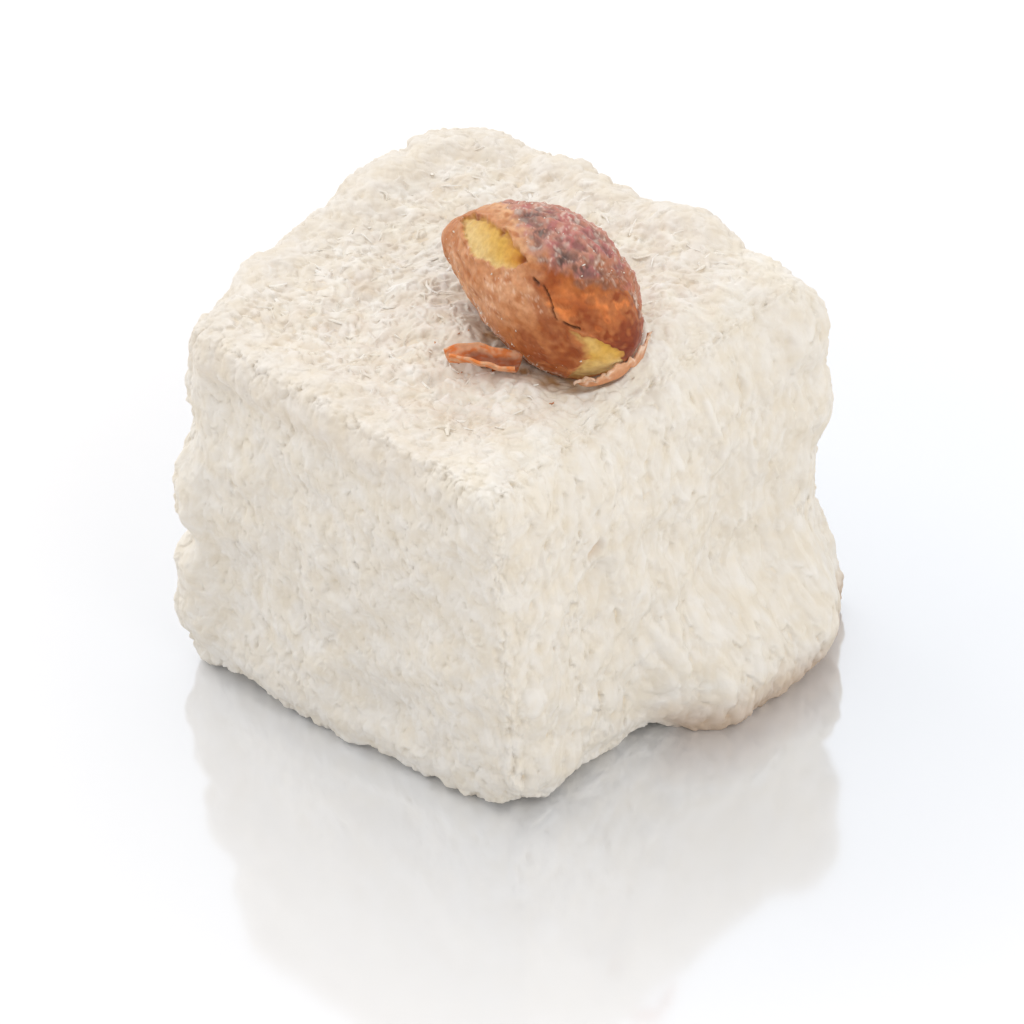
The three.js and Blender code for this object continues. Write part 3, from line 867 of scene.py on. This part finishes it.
def nut_marks(along, around):
    """What the nut's relief and its paint share: bare kernel, crack, dust, purple skin and wrinkles."""
    at = nut_point(along, around, SKIN_RISE)
    flat = flat_nut(along, around)
    ragged = layered(at, PATCH_RAGGED)
    patches = [inside_distance(flat, flat_nut(*np.transpose(outline))) for outline in (PATCH_A, PATCH_B)]
    inside = np.maximum(*patches) + ragged
    wobble = 0.16 * np.stack([noise(at / 0.55, 53), noise(at / 0.55, 54)], 1)
    crack = near_path(flat + wobble, CRACK) + 0.22 * np.abs(ragged)
    hole = near_path(flat + wobble, CRACK_HOLE) + 0.2 * np.abs(ragged)
    edge = np.interp(along, *np.transpose(PURPLE_EDGE))
    behind = (edge - around) * NUT_WIDTH / 2 + layered(at, PURPLE_RAGGED)
    front = (around - PURPLE_BACK) * NUT_WIDTH / 2 + 0.5 * noise(at / 1.1, 45)
    pits = np.zeros(len(at))
    for place, turn, reach in PITS:
        away = np.linalg.norm(flat - flat_nut(place, turn) + ragged[:, None], axis=1)
        pits = np.maximum(pits, fade(away / reach))
    wrinkle = sum(height * np.abs(noise(at / np.array(size), seed)) for height, size, seed in WRINKLES)
    return {
        "kernel": smooth_step(inside, -0.03, 0.08),
        "inside": inside,
        "crack": np.maximum(1 - smooth_step(crack, 0.02, 0.09), 1 - smooth_step(hole, 0.04, 0.14)),
        "beside_crack": fade(np.minimum(crack, hole) / 0.5),
        "cap_edge": fade((near_path(flat, CAP_EDGE) + ragged) / 0.3),
        "dust_line": fade((near_path(flat, DUST_LINE) + ragged) / 0.7),
        "pits": pits,
        "purple": smooth_step(behind, -0.3, 0.6) * smooth_step(front, -0.2, 0.4),
        "band": behind,
        "crest": 1 - smooth_step(wrinkle, 0.02, 0.2),
        "valley": smooth_step(wrinkle, 0.22, 0.45),
    }


def nut_rise(along, around, marks):
    """The height of the skin and its wrinkles over a smooth kernel."""
    at = nut_point(along, around, 0.0)
    folds = mix(BROWN_FOLDS, PURPLE_FOLDS, marks["purple"]) * (marks["crest"] - marks["valley"])
    skin = SKIN_RISE + layered(at, SKIN_SOFT) + folds - 0.08 * marks["cap_edge"]
    skin += PATCH_LIP * fade((marks["inside"] + 0.14) / 0.25)
    kernel = layered(at, KERNEL_SOFT) - NUT_PIT_DEPTH * marks["pits"]
    bare = mix(skin, kernel, marks["kernel"])
    return bare - CRACK_DEPTH * marks["crack"] + CRACK_LIP * marks["beside_crack"]


def painted(colour, name, share):
    """Colours with shares from 0 to 1 of a named colour mixed in."""
    return mix(colour, np.array(NUT_COLOURS[name]), share[:, None])


def nut_paint(along, around, marks):
    """The nut's colour in layers of named colours, each with a share. Many have a field too, and two values
    of it between which the layer rises from nothing to that share."""
    at = nut_point(along, around, SKIN_RISE)
    flat = flat_nut(along, around)
    patchy = noise(at / 1.3, 61)
    blotch = noise(at / 0.75, 65)
    fine = noise(at / 0.35, 62)
    speck = noise(at / 0.2, 63)
    streak = noise(at / np.array([2.4, 0.45, 0.45]), 64)
    above = smooth_step(2.36 + 0.45 * along - around, -0.04, 0.08)
    below = 1 - above
    right = smooth_step(along + 0.12 * patchy, 0.05, 0.4)
    lower_right = smooth_step(along + 0.6 * (around - 2.9) + 0.2 * patchy, 0.1, 0.6)
    near_purple = smooth_step(marks["band"], -1.5, -0.2) * (1 - right)
    purple, kernel = marks["purple"], marks["kernel"]
    sooty = spots(flat, GREY_SPOTS, 0.95)
    frosted = 1 - 0.7 * sooty
    lower_edge = fade((marks["band"] - 0.4) / 0.9) * right
    dusty = frosted * (purple + 0.3 * lower_edge)
    pale_side = -1.1 * (along + 0.22) + 1.0 * (around - 2.3) + 0.15 * blotch
    deep_side = along - 0.4 * (around - 2.3) + 0.08 * blotch
    border = 1 - smooth_step(marks["inside"], 0.03, 0.25)
    low_border = (1 - smooth_step(marks["inside"], 0.1, 0.45)) * smooth_step(around, 2.25, 2.45)
    left_patch, right_patch = kernel * (along < 0.4), kernel * (along > 0.4)
    layers = [
        ("tan_pale", 0.55 * below, patchy + 0.25 * fine, -0.2, 0.5),
        ("brown", 0.55 * below, blotch + 0.4 * fine, 0.2, 0.6),
        ("brown", 0.72 * below * lower_right),
        ("orange", 0.4 * below, streak + 0.5 * fine, 0.1, 0.6),
        ("deep", 0.6 * below * lower_right, patchy + 0.4 * fine, 0.0, 0.5),
        ("tan_pale", 0.4 * below * (1 - 0.8 * lower_right), -streak + 0.5 * fine, 0.2, 0.6),
        # Painted highlights: pale flecks on the tan half.
        ("highlight_fleck", 0.55 * below, speck + 0.6 * patchy - 0.5 * lower_right, 0.45, 0.8),
        ("orange", above * right),
        ("bright", 0.9 * above * right, streak + 0.4 * fine, 0.1, 0.45),
        ("deep", 0.85 * above * right, -streak + 0.45 * fine, 0.1, 0.55),
        ("brown", 0.7 * above * right, marks["band"] + 0.5 * blotch, -1.3, -0.3),
        ("bright", 0.7 * spots(flat, BRIGHT_SPOTS, 1.2) * (0.6 + 0.6 * fine)),
        ("deep", 0.85 * spots(flat, DEEP_SPOTS, 1.3), 0.5 * fine + streak, -0.8, 0.2),
        ("pink", 0.9 * near_purple * above),
        ("brown", 0.7 * near_purple * above, streak + 0.3 * fine, 0.1, 0.5),
        ("purple", purple),
        ("mauve", 0.8 * purple, -blotch + 0.3 * fine, 0.0, 0.5),
        ("mauve", 0.8 * purple * spots(flat, MAGENTA_SPOTS, 1.0)),
        # Painted shade: grey in the valleys of the wrinkles.
        ("grey", 0.5 * purple * marks["valley"]),
        ("grey", 0.65 * purple, blotch + 0.6 * fine, 0.3, 0.75),
        ("grey", 0.92 * sooty, fine + speck, -0.7, 0.2),
        ("grey", 0.8 * lower_edge, blotch + 0.6 * fine, -0.1, 0.35),
        ("brown", 0.55 * purple, along + 0.2 * blotch, 0.45, 0.7),
        ("dust", 0.4 * purple * frosted, fine + 0.6 * blotch, 0.25, 0.75),
        ("dust", 0.6 * dusty, speck + 0.6 * patchy, 0.35, 0.85),
        ("dark", 0.85 * (1 - kernel), along + 0.06 * fine + 0.08 * streak, 0.84, 0.98),
        ("brown", 0.5 * marks["cap_edge"]),
        ("brown", 0.3, -along, 0.6, 0.75),
        ("kernel", kernel),
        ("kernel_pale", kernel, pale_side, -0.15, 0.5),
        ("kernel_pale", 0.6 * left_patch * low_border),
        ("kernel_deep", 0.85 * left_patch, deep_side, -0.2, 0.12),
        ("kernel_pale", 0.5 * right_patch, 0.93 - along + 0.12 * blotch, 0.0, 0.2),
        ("orange", 0.5 * kernel * border * (1 - low_border * (along < 0.4))),
        ("deep", 0.8 * marks["pits"]),
        ("dust", 0.95 * marks["dust_line"], speck + 0.5 * fine, -0.2, 0.3),
        ("crack", marks["crack"]),
    ]
    colour = np.tile(NUT_COLOURS["tan"], (len(along), 1))
    for name, share, *rises in layers:
        if rises:
            share = share * smooth_step(*rises)
        colour = painted(colour, name, np.clip(share, 0, 1))
    return colour


def pistachio(material):
    """The nut. It is kept out of the floor's sheen, which shows the block alone."""
    along, around, faces = nut_grid()
    marks = nut_marks(along, around)
    points = nut_point(along, around, nut_rise(along, around, marks))
    paint = nut_paint(along, around, marks)
    piece = make_mesh("pistachio_nut", points, faces, material, {"paint": paint})
    piece.visible_glossy = False
    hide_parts("pistachio")
    return piece


def sheet_mesh(name, surface, steps, material, paint):
    """A thin closed sheet around a surface of two shares from 0 to 1, with a colour for each side."""
    across, down = steps
    shares = [np.linspace(0, 1, count + 1) for count in steps]
    u, v = [x.ravel() for x in np.meshgrid(*shares, indexing="ij")]
    step = 1e-3
    middle = surface(u, v)
    normal = unit(np.cross(surface(u + step, v) - surface(u - step, v),
                           surface(u, v + step) - surface(u, v - step)))
    half = 0.5 * SKIN_THICKNESS * normal
    points = np.concatenate([middle + half, middle - half])
    index = np.arange((across + 1) * (down + 1)).reshape(across + 1, down + 1)
    top = np.stack([index[:-1, :-1], index[1:, :-1], index[1:, 1:], index[:-1, 1:]], -1).reshape(-1, 4)
    border = np.concatenate([index[:, 0], index[-1, 1:], index[-2::-1, -1], index[0, -2:0:-1]])
    after = np.roll(border, -1)
    size = index.size
    rim = np.stack([after, border, border + size, after + size], 1)
    faces = np.concatenate([top, top[:, ::-1] + size, rim])
    colour = np.concatenate([paint(u, v, side) for side in (1, 0)])
    return make_mesh(name, points, faces, material, {"paint": colour})


def skin_paint(u, v, hollow):
    """Pale tan with orange streaks along the scrap, and dark brown painted shade in its hollow."""
    streak = noise(np.stack([u * 6, v * 9, 0 * u], 1), 71)
    fine = noise(np.stack([u * 16, v * 22, 0 * u], 1), 73)
    inside = smooth_step(1 - np.abs(2 * v - 1), 0.15, 0.5) * smooth_step(u, 0.12, 0.35)
    pale = np.array(NUT_COLOURS["tan_pale"])
    streaked = painted(pale, "bright", smooth_step(streak + 0.5 * fine, -0.2, 0.4))
    # Painted shade: dark in the hollow, on its inner side.
    return painted(streaked, "dark", 0.7 * hollow * inside)


def curl_paint(u, v, hollow):
    """Pale tan, whiter at its ends and, as painted highlight, along its upper edge, and browner low down and
    inside as painted shade.
    """
    streak = noise(np.stack([u * 12, v * 3, 0 * u], 1), 72)
    low = (1 - v) + 0.4 * hollow - 0.3 * streak
    pale = np.array(NUT_COLOURS["tan_pale"])
    # Whiter at the ends and, as painted highlight, along the upper edge.
    highlighted = painted(pale, "highlight_fleck", smooth_step(streak + v + 0.6 * np.abs(2 * u - 1), 0.6, 1.6))
    # Painted shade: browner low down and inside.
    return painted(highlighted, "brown", 0.5 * smooth_step(low, 0.6, 1.3))


def skin_flake(material):
    """A trough-like scrap of skin that lies in front of the nut, narrower at its free end."""
    def surface(u, v):
        tapered = 0.3 + 0.7 * np.sin(0.5 * math.pi * np.clip(2.4 * u, 0, 1))
        wide = FLAKE_WIDTH * tapered * (1 + 0.06 * np.sin(17 * u))
        local = np.stack([
            (u - 0.5) * FLAKE_LENGTH * (1 - 0.1 * np.sin(3 * v + 1)),
            (v - 0.5) * wide + FLAKE_WAVE * np.sin(5 * u),
            FLAKE_CUP * (2 * v - 1) ** 2 + FLAKE_WAVE * np.sin(4 * u + 1) + 0.03 * np.sin(23 * u + 4 * v),
        ], -1)
        return local @ np.array(Matrix.Rotation(FLAKE_TURN, 3, "Z")).T + FLAKE_MIDDLE

    piece = sheet_mesh("nut_skin_flake", surface, FLAKE_STEPS, material, skin_paint)
    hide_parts("skin_flake")
    return piece


def skin_curl(material):
    """A ragged ribbon of skin that stands round the blunt end of the nut."""
    stops = np.linspace(0, 1, len(CURL_PATH))
    along_stops, around_stops = np.transpose(CURL_PATH)

    def surface(u, v):
        u = np.clip(u, 0, 1)
        runs_out = np.sqrt(np.maximum(1 - (2 * u - 1) ** 4, 0.02))
        ragged = 1 + 0.2 * np.sin(17 * u) + 0.1 * np.sin(41 * u + 1) + 0.05 * np.sin(97 * u)
        flare = CURL_FLARE * v ** 2 + 0.06 * np.sin(13 * u)
        base = nut_point(np.interp(u, stops, along_stops), np.interp(u, stops, around_stops),
                         SKIN_RISE + mix(*CURL_AWAY, u) + flare)
        base[:, 2] += CURL_HEIGHT * runs_out * (ragged * v - 0.5)
        return base

    piece = sheet_mesh("nut_skin_curl", surface, CURL_STEPS, material, curl_paint)
    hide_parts("skin_curl")
    return piece


def nut_dust(material):
    """Crumbs of coconut stuck to the nut, most of them low on its flanks and on the wrinkled skin."""
    rng = np.random.default_rng(33)
    along = rng.uniform(-0.85, 0.95, DUST_GRAINS)
    around = rng.uniform(0, 2 * math.pi, DUST_GRAINS) + NUT_SEAM
    marks = nut_marks(along, around)
    low = smooth_step(-np.sin(around), -0.2, 0.6)
    wanted = 0.04 + 0.5 * low + 0.45 * marks["purple"] + 0.9 * marks["dust_line"]
    keep = rng.uniform(0, 1, DUST_GRAINS) < wanted * (1 - marks["kernel"])
    along, around = along[keep], around[keep]
    marks = {key: value[keep] for key, value in marks.items()}
    rise = nut_rise(along, around, marks)
    centre = nut_point(along, around, rise + 0.01)
    out = unit(nut_point(along, around, rise + 0.3) - nut_point(along, around, rise))
    turned = unit(np.cross(out, rng.normal(size=out.shape)))
    count = len(centre)
    size = 0.04 + 0.1 * rng.uniform(0, 1, count) ** 3
    thin = size * rng.uniform(0.4, 0.8, count)
    points = shred_points(rng, LOOSE, centre, turned, out, size * rng.uniform(1, 1.9, count), size, thin)
    each = len(points) // count
    values = {"shade": np.repeat(rng.uniform(0.3, 1.0, count), each), "stain_and_shade": np.full(len(points), 0.12)}
    return make_mesh("coconut_dust", points, shred_faces(LOOSE, count), material, values)


def skin_specks(top, material):
    """Specks of the nut's skin on the coconut in front of the nut and around the flake."""
    rng = np.random.default_rng(35)
    by_nut = np.stack([rng.uniform(-4, 5, SPECKS_BY_NUT), -rng.uniform(3.2, 4.6, SPECKS_BY_NUT)], 1)
    by_flake = rng.normal(0, (1.6, 0.9), (SPECKS_BY_FLAKE, 2))
    places = np.concatenate([NUT_MIDDLE[:2] + by_nut, FLAKE_MIDDLE[:2] + by_flake])
    surface = top["points"].reshape(-1, 3)
    nearest = [np.argmin(((surface[:, :2] - place) ** 2).sum(1)) for place in places]
    centre = surface[nearest] + np.array([0, 0, 0.02])
    centre = centre[clear_of_nut(centre)]
    count = len(centre)
    turn = rng.uniform(-math.pi, math.pi, count)
    along = np.stack([np.cos(turn), np.sin(turn), rng.normal(0, 0.2, count)], 1)
    up = np.tile([0, 0, 1.0], (count, 1))
    length = 0.1 + 0.25 * rng.uniform(0, 1, count) ** 2
    points = shred_points(rng, SPECK, centre, unit(along), up, length, 0.5 * length, 0.25 * length)
    hues = np.array([NUT_COLOURS[name] for name in ("brown", "tan", "orange")])
    paint = np.repeat(hues[rng.integers(0, len(hues), count)], len(points) // count, axis=0)
    faces = shred_faces(SPECK, count)
    return make_mesh("nut_skin_specks", points, faces, material, {"paint": paint}, smooth=False)


# Materials

def set_inputs(node, inputs):
    """Sets inputs by name or number, each to a value or to an output of another node."""
    for key, value in inputs.items():
        if isinstance(value, bpy.types.NodeSocket):
            node.id_data.links.new(value, node.inputs[key])
        else:
            node.inputs[key].default_value = value


def add_node(nodes, kind, output, inputs=None, **settings):
    """Adds a node with its settings and inputs, and gives one of its outputs."""
    node = nodes.new(kind)
    for key, value in settings.items():
        setattr(node, key, value)
    set_inputs(node, inputs or {})
    return node.outputs[output]


def new_material(name):
    """A material, its nodes and its main shader."""
    material = bpy.data.materials.new(name)
    material.use_nodes = True
    nodes = material.node_tree.nodes
    return material, nodes, nodes["Principled BSDF"]


def attribute(nodes, name, output):
    return add_node(nodes, "ShaderNodeAttribute", output, attribute_name=name)


def noise_over(nodes, scale, detail):
    """Noise over the piece, with its scale in cells per metre."""
    at = add_node(nodes, "ShaderNodeTexCoord", "Object")
    return add_node(nodes, "ShaderNodeTexNoise", "Fac", {"Vector": at, "Scale": scale, "Detail": detail})


def relief_from(nodes, height, strength, distance):
    inputs = {"Height": height, "Strength": strength, "Distance": distance}
    return add_node(nodes, "ShaderNodeBump", "Normal", inputs)


def colours_for(nodes, share, stops):
    """Colours for a share from 0 to 1, between stops of a place and a colour."""
    ramp = nodes.new("ShaderNodeValToRGB")
    elements = ramp.color_ramp.elements
    while len(elements) < len(stops):
        elements.new(0.5)
    for element, (place, colour) in zip(elements, stops):
        element.position = place
        element.color = colour
    set_inputs(ramp, {"Fac": share})
    return ramp.outputs["Color"]


def multiply(nodes, inputs):
    return add_node(nodes, "ShaderNodeMix", "Result", inputs, data_type="RGBA", blend_type="MULTIPLY")


def smooth_range(nodes, value, low, high, first, last):
    """Smoothly from first to last, for a value that goes from low to high."""
    inputs = {"Value": value, "From Min": low, "From Max": high, "To Min": first, "To Max": last}
    return add_node(nodes, "ShaderNodeMapRange", "Result", inputs, interpolation_type="SMOOTHSTEP")


def coconut_material():
    """Cream to white by each bit's shade, partly painted light by height, a little mottled, and browner
    where it is stained or where brown shade is painted.
    """
    material, nodes, shader = new_material("coconut")
    shade, stain_and_shade = [attribute(nodes, name, "Fac") for name in ("shade", "stain_and_shade")]
    # Low shade in hollows and high shade on crests are partly painted light.
    cream = colours_for(nodes, shade, [(0.0, COCONUT_DEEP), (0.35, COCONUT_CREAM), (1.0, COCONUT_WHITE)])
    mottle = colours_for(nodes, noise_over(nodes, 700, 3), [(0.34, COCONUT_BEIGE), (0.62, WHITE)])
    tint = multiply(nodes, {"Factor": 0.45, "A": cream, "B": mottle})
    # Brown from real stains and from painted shade.
    brown = multiply(nodes, {"Factor": stain_and_shade, "A": tint, "B": COCONUT_STAIN_AND_SHADE})
    relief = relief_from(nodes, noise_over(nodes, 5200, 3), 0.25, 0.00005)
    set_inputs(shader, {"Base Color": brown, "Normal": relief})
    set_inputs(shader, {"Roughness": 0.62, "Specular IOR Level": 0.35})
    return material


def nut_material(name):
    """Roasted skin or kernel in its painted colour, with a fine grain in colour, gloss and relief."""
    material, nodes, shader = new_material(name)
    grain = noise_over(nodes, 3200, 5)
    tone = colours_for(nodes, grain, [(0.32, NUT_GRAIN), (0.62, WHITE)])
    tint = multiply(nodes, {"Factor": 0.9, "A": attribute(nodes, "paint", "Color"), "B": tone})
    gloss = {"Value": grain, "To Min": 0.38, "To Max": 0.62}
    set_inputs(shader, {
        "Base Color": tint,
        "Roughness": add_node(nodes, "ShaderNodeMapRange", "Result", gloss),
        "Normal": relief_from(nodes, grain, 0.3, 0.00006),
        "Specular IOR Level": 0.25,
        "Subsurface Weight": 0.12,
        "Subsurface Radius": (1.0, 0.5, 0.25),
        "Subsurface Scale": 0.0005,
    })
    return material


def floor_material():
    """White acrylic that mirrors what stands on it, darker near the piece with painted shade, and whiter and
    less of a mirror further away.
    """
    material, nodes, shader = new_material("floor")
    at = add_node(nodes, "ShaderNodeTexCoord", "Object")
    middle = NEAR_MIDDLE * MM
    away = add_node(nodes, "ShaderNodeVectorMath", "Value", {0: at, 1: middle}, operation="DISTANCE")
    near = smooth_range(nodes, away, NEAR_FROM * MM, NEAR_TO * MM, 1.0, 0.0)
    # Painted shade: the floor's colour is darker and bluish near the piece.
    white = colours_for(nodes, near, [(0.0, FLOOR_FAR), (1.0, FLOOR_NEAR_SHADED)])
    set_inputs(shader, {"Base Color": white, "Roughness": 0.5, "Specular IOR Level": 0.1})
    sheen = {"Roughness": MIRROR_ROUGHNESS, "Color": MIRROR_TINT}
    mirror = add_node(nodes, "ShaderNodeBsdfGlossy", "BSDF", sheen)
    falls = add_node(nodes, "ShaderNodeMath", "Value", {0: near, 1: MIRROR_FALL}, operation="POWER")
    share = add_node(nodes, "ShaderNodeMath", "Value", {0: falls, 1: MIRROR_MOST}, operation="MULTIPLY")
    parts = {"Fac": share, 1: shader.outputs["BSDF"], 2: mirror}
    both = add_node(nodes, "ShaderNodeMixShader", "Shader", parts)
    set_inputs(nodes["Material Output"], {"Surface": both})
    return material


# Floor, light and camera

def add_floor():
    bpy.ops.mesh.primitive_circle_add(vertices=96, radius=FLOOR_RADIUS * MM, fill_type="NGON")
    floor = bpy.context.object
    floor.name = "floor"
    floor.data.materials.append(floor_material())


def way_to(azimuth, elevation):
    """The direction of a place around the piece, in degrees. Azimuth 0 is in front, 90 to the right."""
    a, e = math.radians(azimuth), math.radians(elevation)
    return Vector((math.sin(a) * math.cos(e), -math.cos(a) * math.cos(e), math.sin(e)))


def add_light(name, azimuth, elevation, distance, size, power, colour):
    """A soft square light that looks at the middle of the piece."""
    light = bpy.data.lights.new(name, "AREA")
    light.size = size
    light.energy = power
    light.color = colour
    lamp = bpy.data.objects.new(name, light)
    bpy.context.scene.collection.objects.link(lamp)
    back = way_to(azimuth, elevation)
    lamp.location = back * distance + LIGHT_AIM
    lamp.rotation_mode = "QUATERNION"
    lamp.rotation_quaternion = back.to_track_quat("Z", "Y")


def add_world():
    """White all round, brighter behind the piece than in front of it."""
    world = bpy.data.worlds.new("studio")
    world.use_nodes = True
    bpy.context.scene.world = world
    nodes = world.node_tree.nodes
    at = add_node(nodes, "ShaderNodeTexCoord", "Generated")
    back = -way_to(CAMERA_AZIMUTH, 0)
    backwards = add_node(nodes, "ShaderNodeVectorMath", "Value", {0: at, 1: back}, operation="DOT_PRODUCT")
    strength = smooth_range(nodes, backwards, -1, 0.8, SKY_FRONT, SKY_BACK)
    set_inputs(nodes["Background"], {"Color": SKY_COLOUR, "Strength": strength})


def add_camera():
    camera = bpy.data.cameras.new("camera")
    camera.lens = CAMERA_LENS
    camera.sensor_width = CAMERA_SENSOR
    camera.clip_start = 0.01
    holder = bpy.data.objects.new("camera", camera)
    bpy.context.scene.collection.objects.link(holder)
    back = way_to(CAMERA_AZIMUTH, CAMERA_ELEVATION)
    level = (-back).to_track_quat("-Z", "Y").to_matrix()
    roll = Matrix.Rotation(math.radians(CAMERA_ROLL), 3, "Z")
    place = Matrix.Translation(Vector(CAMERA_AIM * MM) + back * CAMERA_DISTANCE * MM)
    holder.matrix_world = place @ (level @ roll).to_4x4()
    bpy.context.scene.camera = holder


scene = bpy.context.scene
scene.view_settings.view_transform = "Standard"
scene.view_settings.look = "None"

coconut = coconut_material()
nut = nut_material("nut")
skin = nut_material("nut_skin")
faces = coat_faces()
coconut_coat(faces, coconut)
shreds_on_top("coconut_loose", 32, LOOSE, faces["top"], coconut)
shreds_on_top("coconut_fibres", 34, FIBRE, faces["top"], coconut)
pistachio(nut)
nut_dust(coconut)
skin_flake(skin)
skin_curl(skin)
skin_specks(faces["top"], skin)

add_floor()
add_world()
for name, settings in LIGHTS.items():
    add_light(name, *settings)
add_camera()
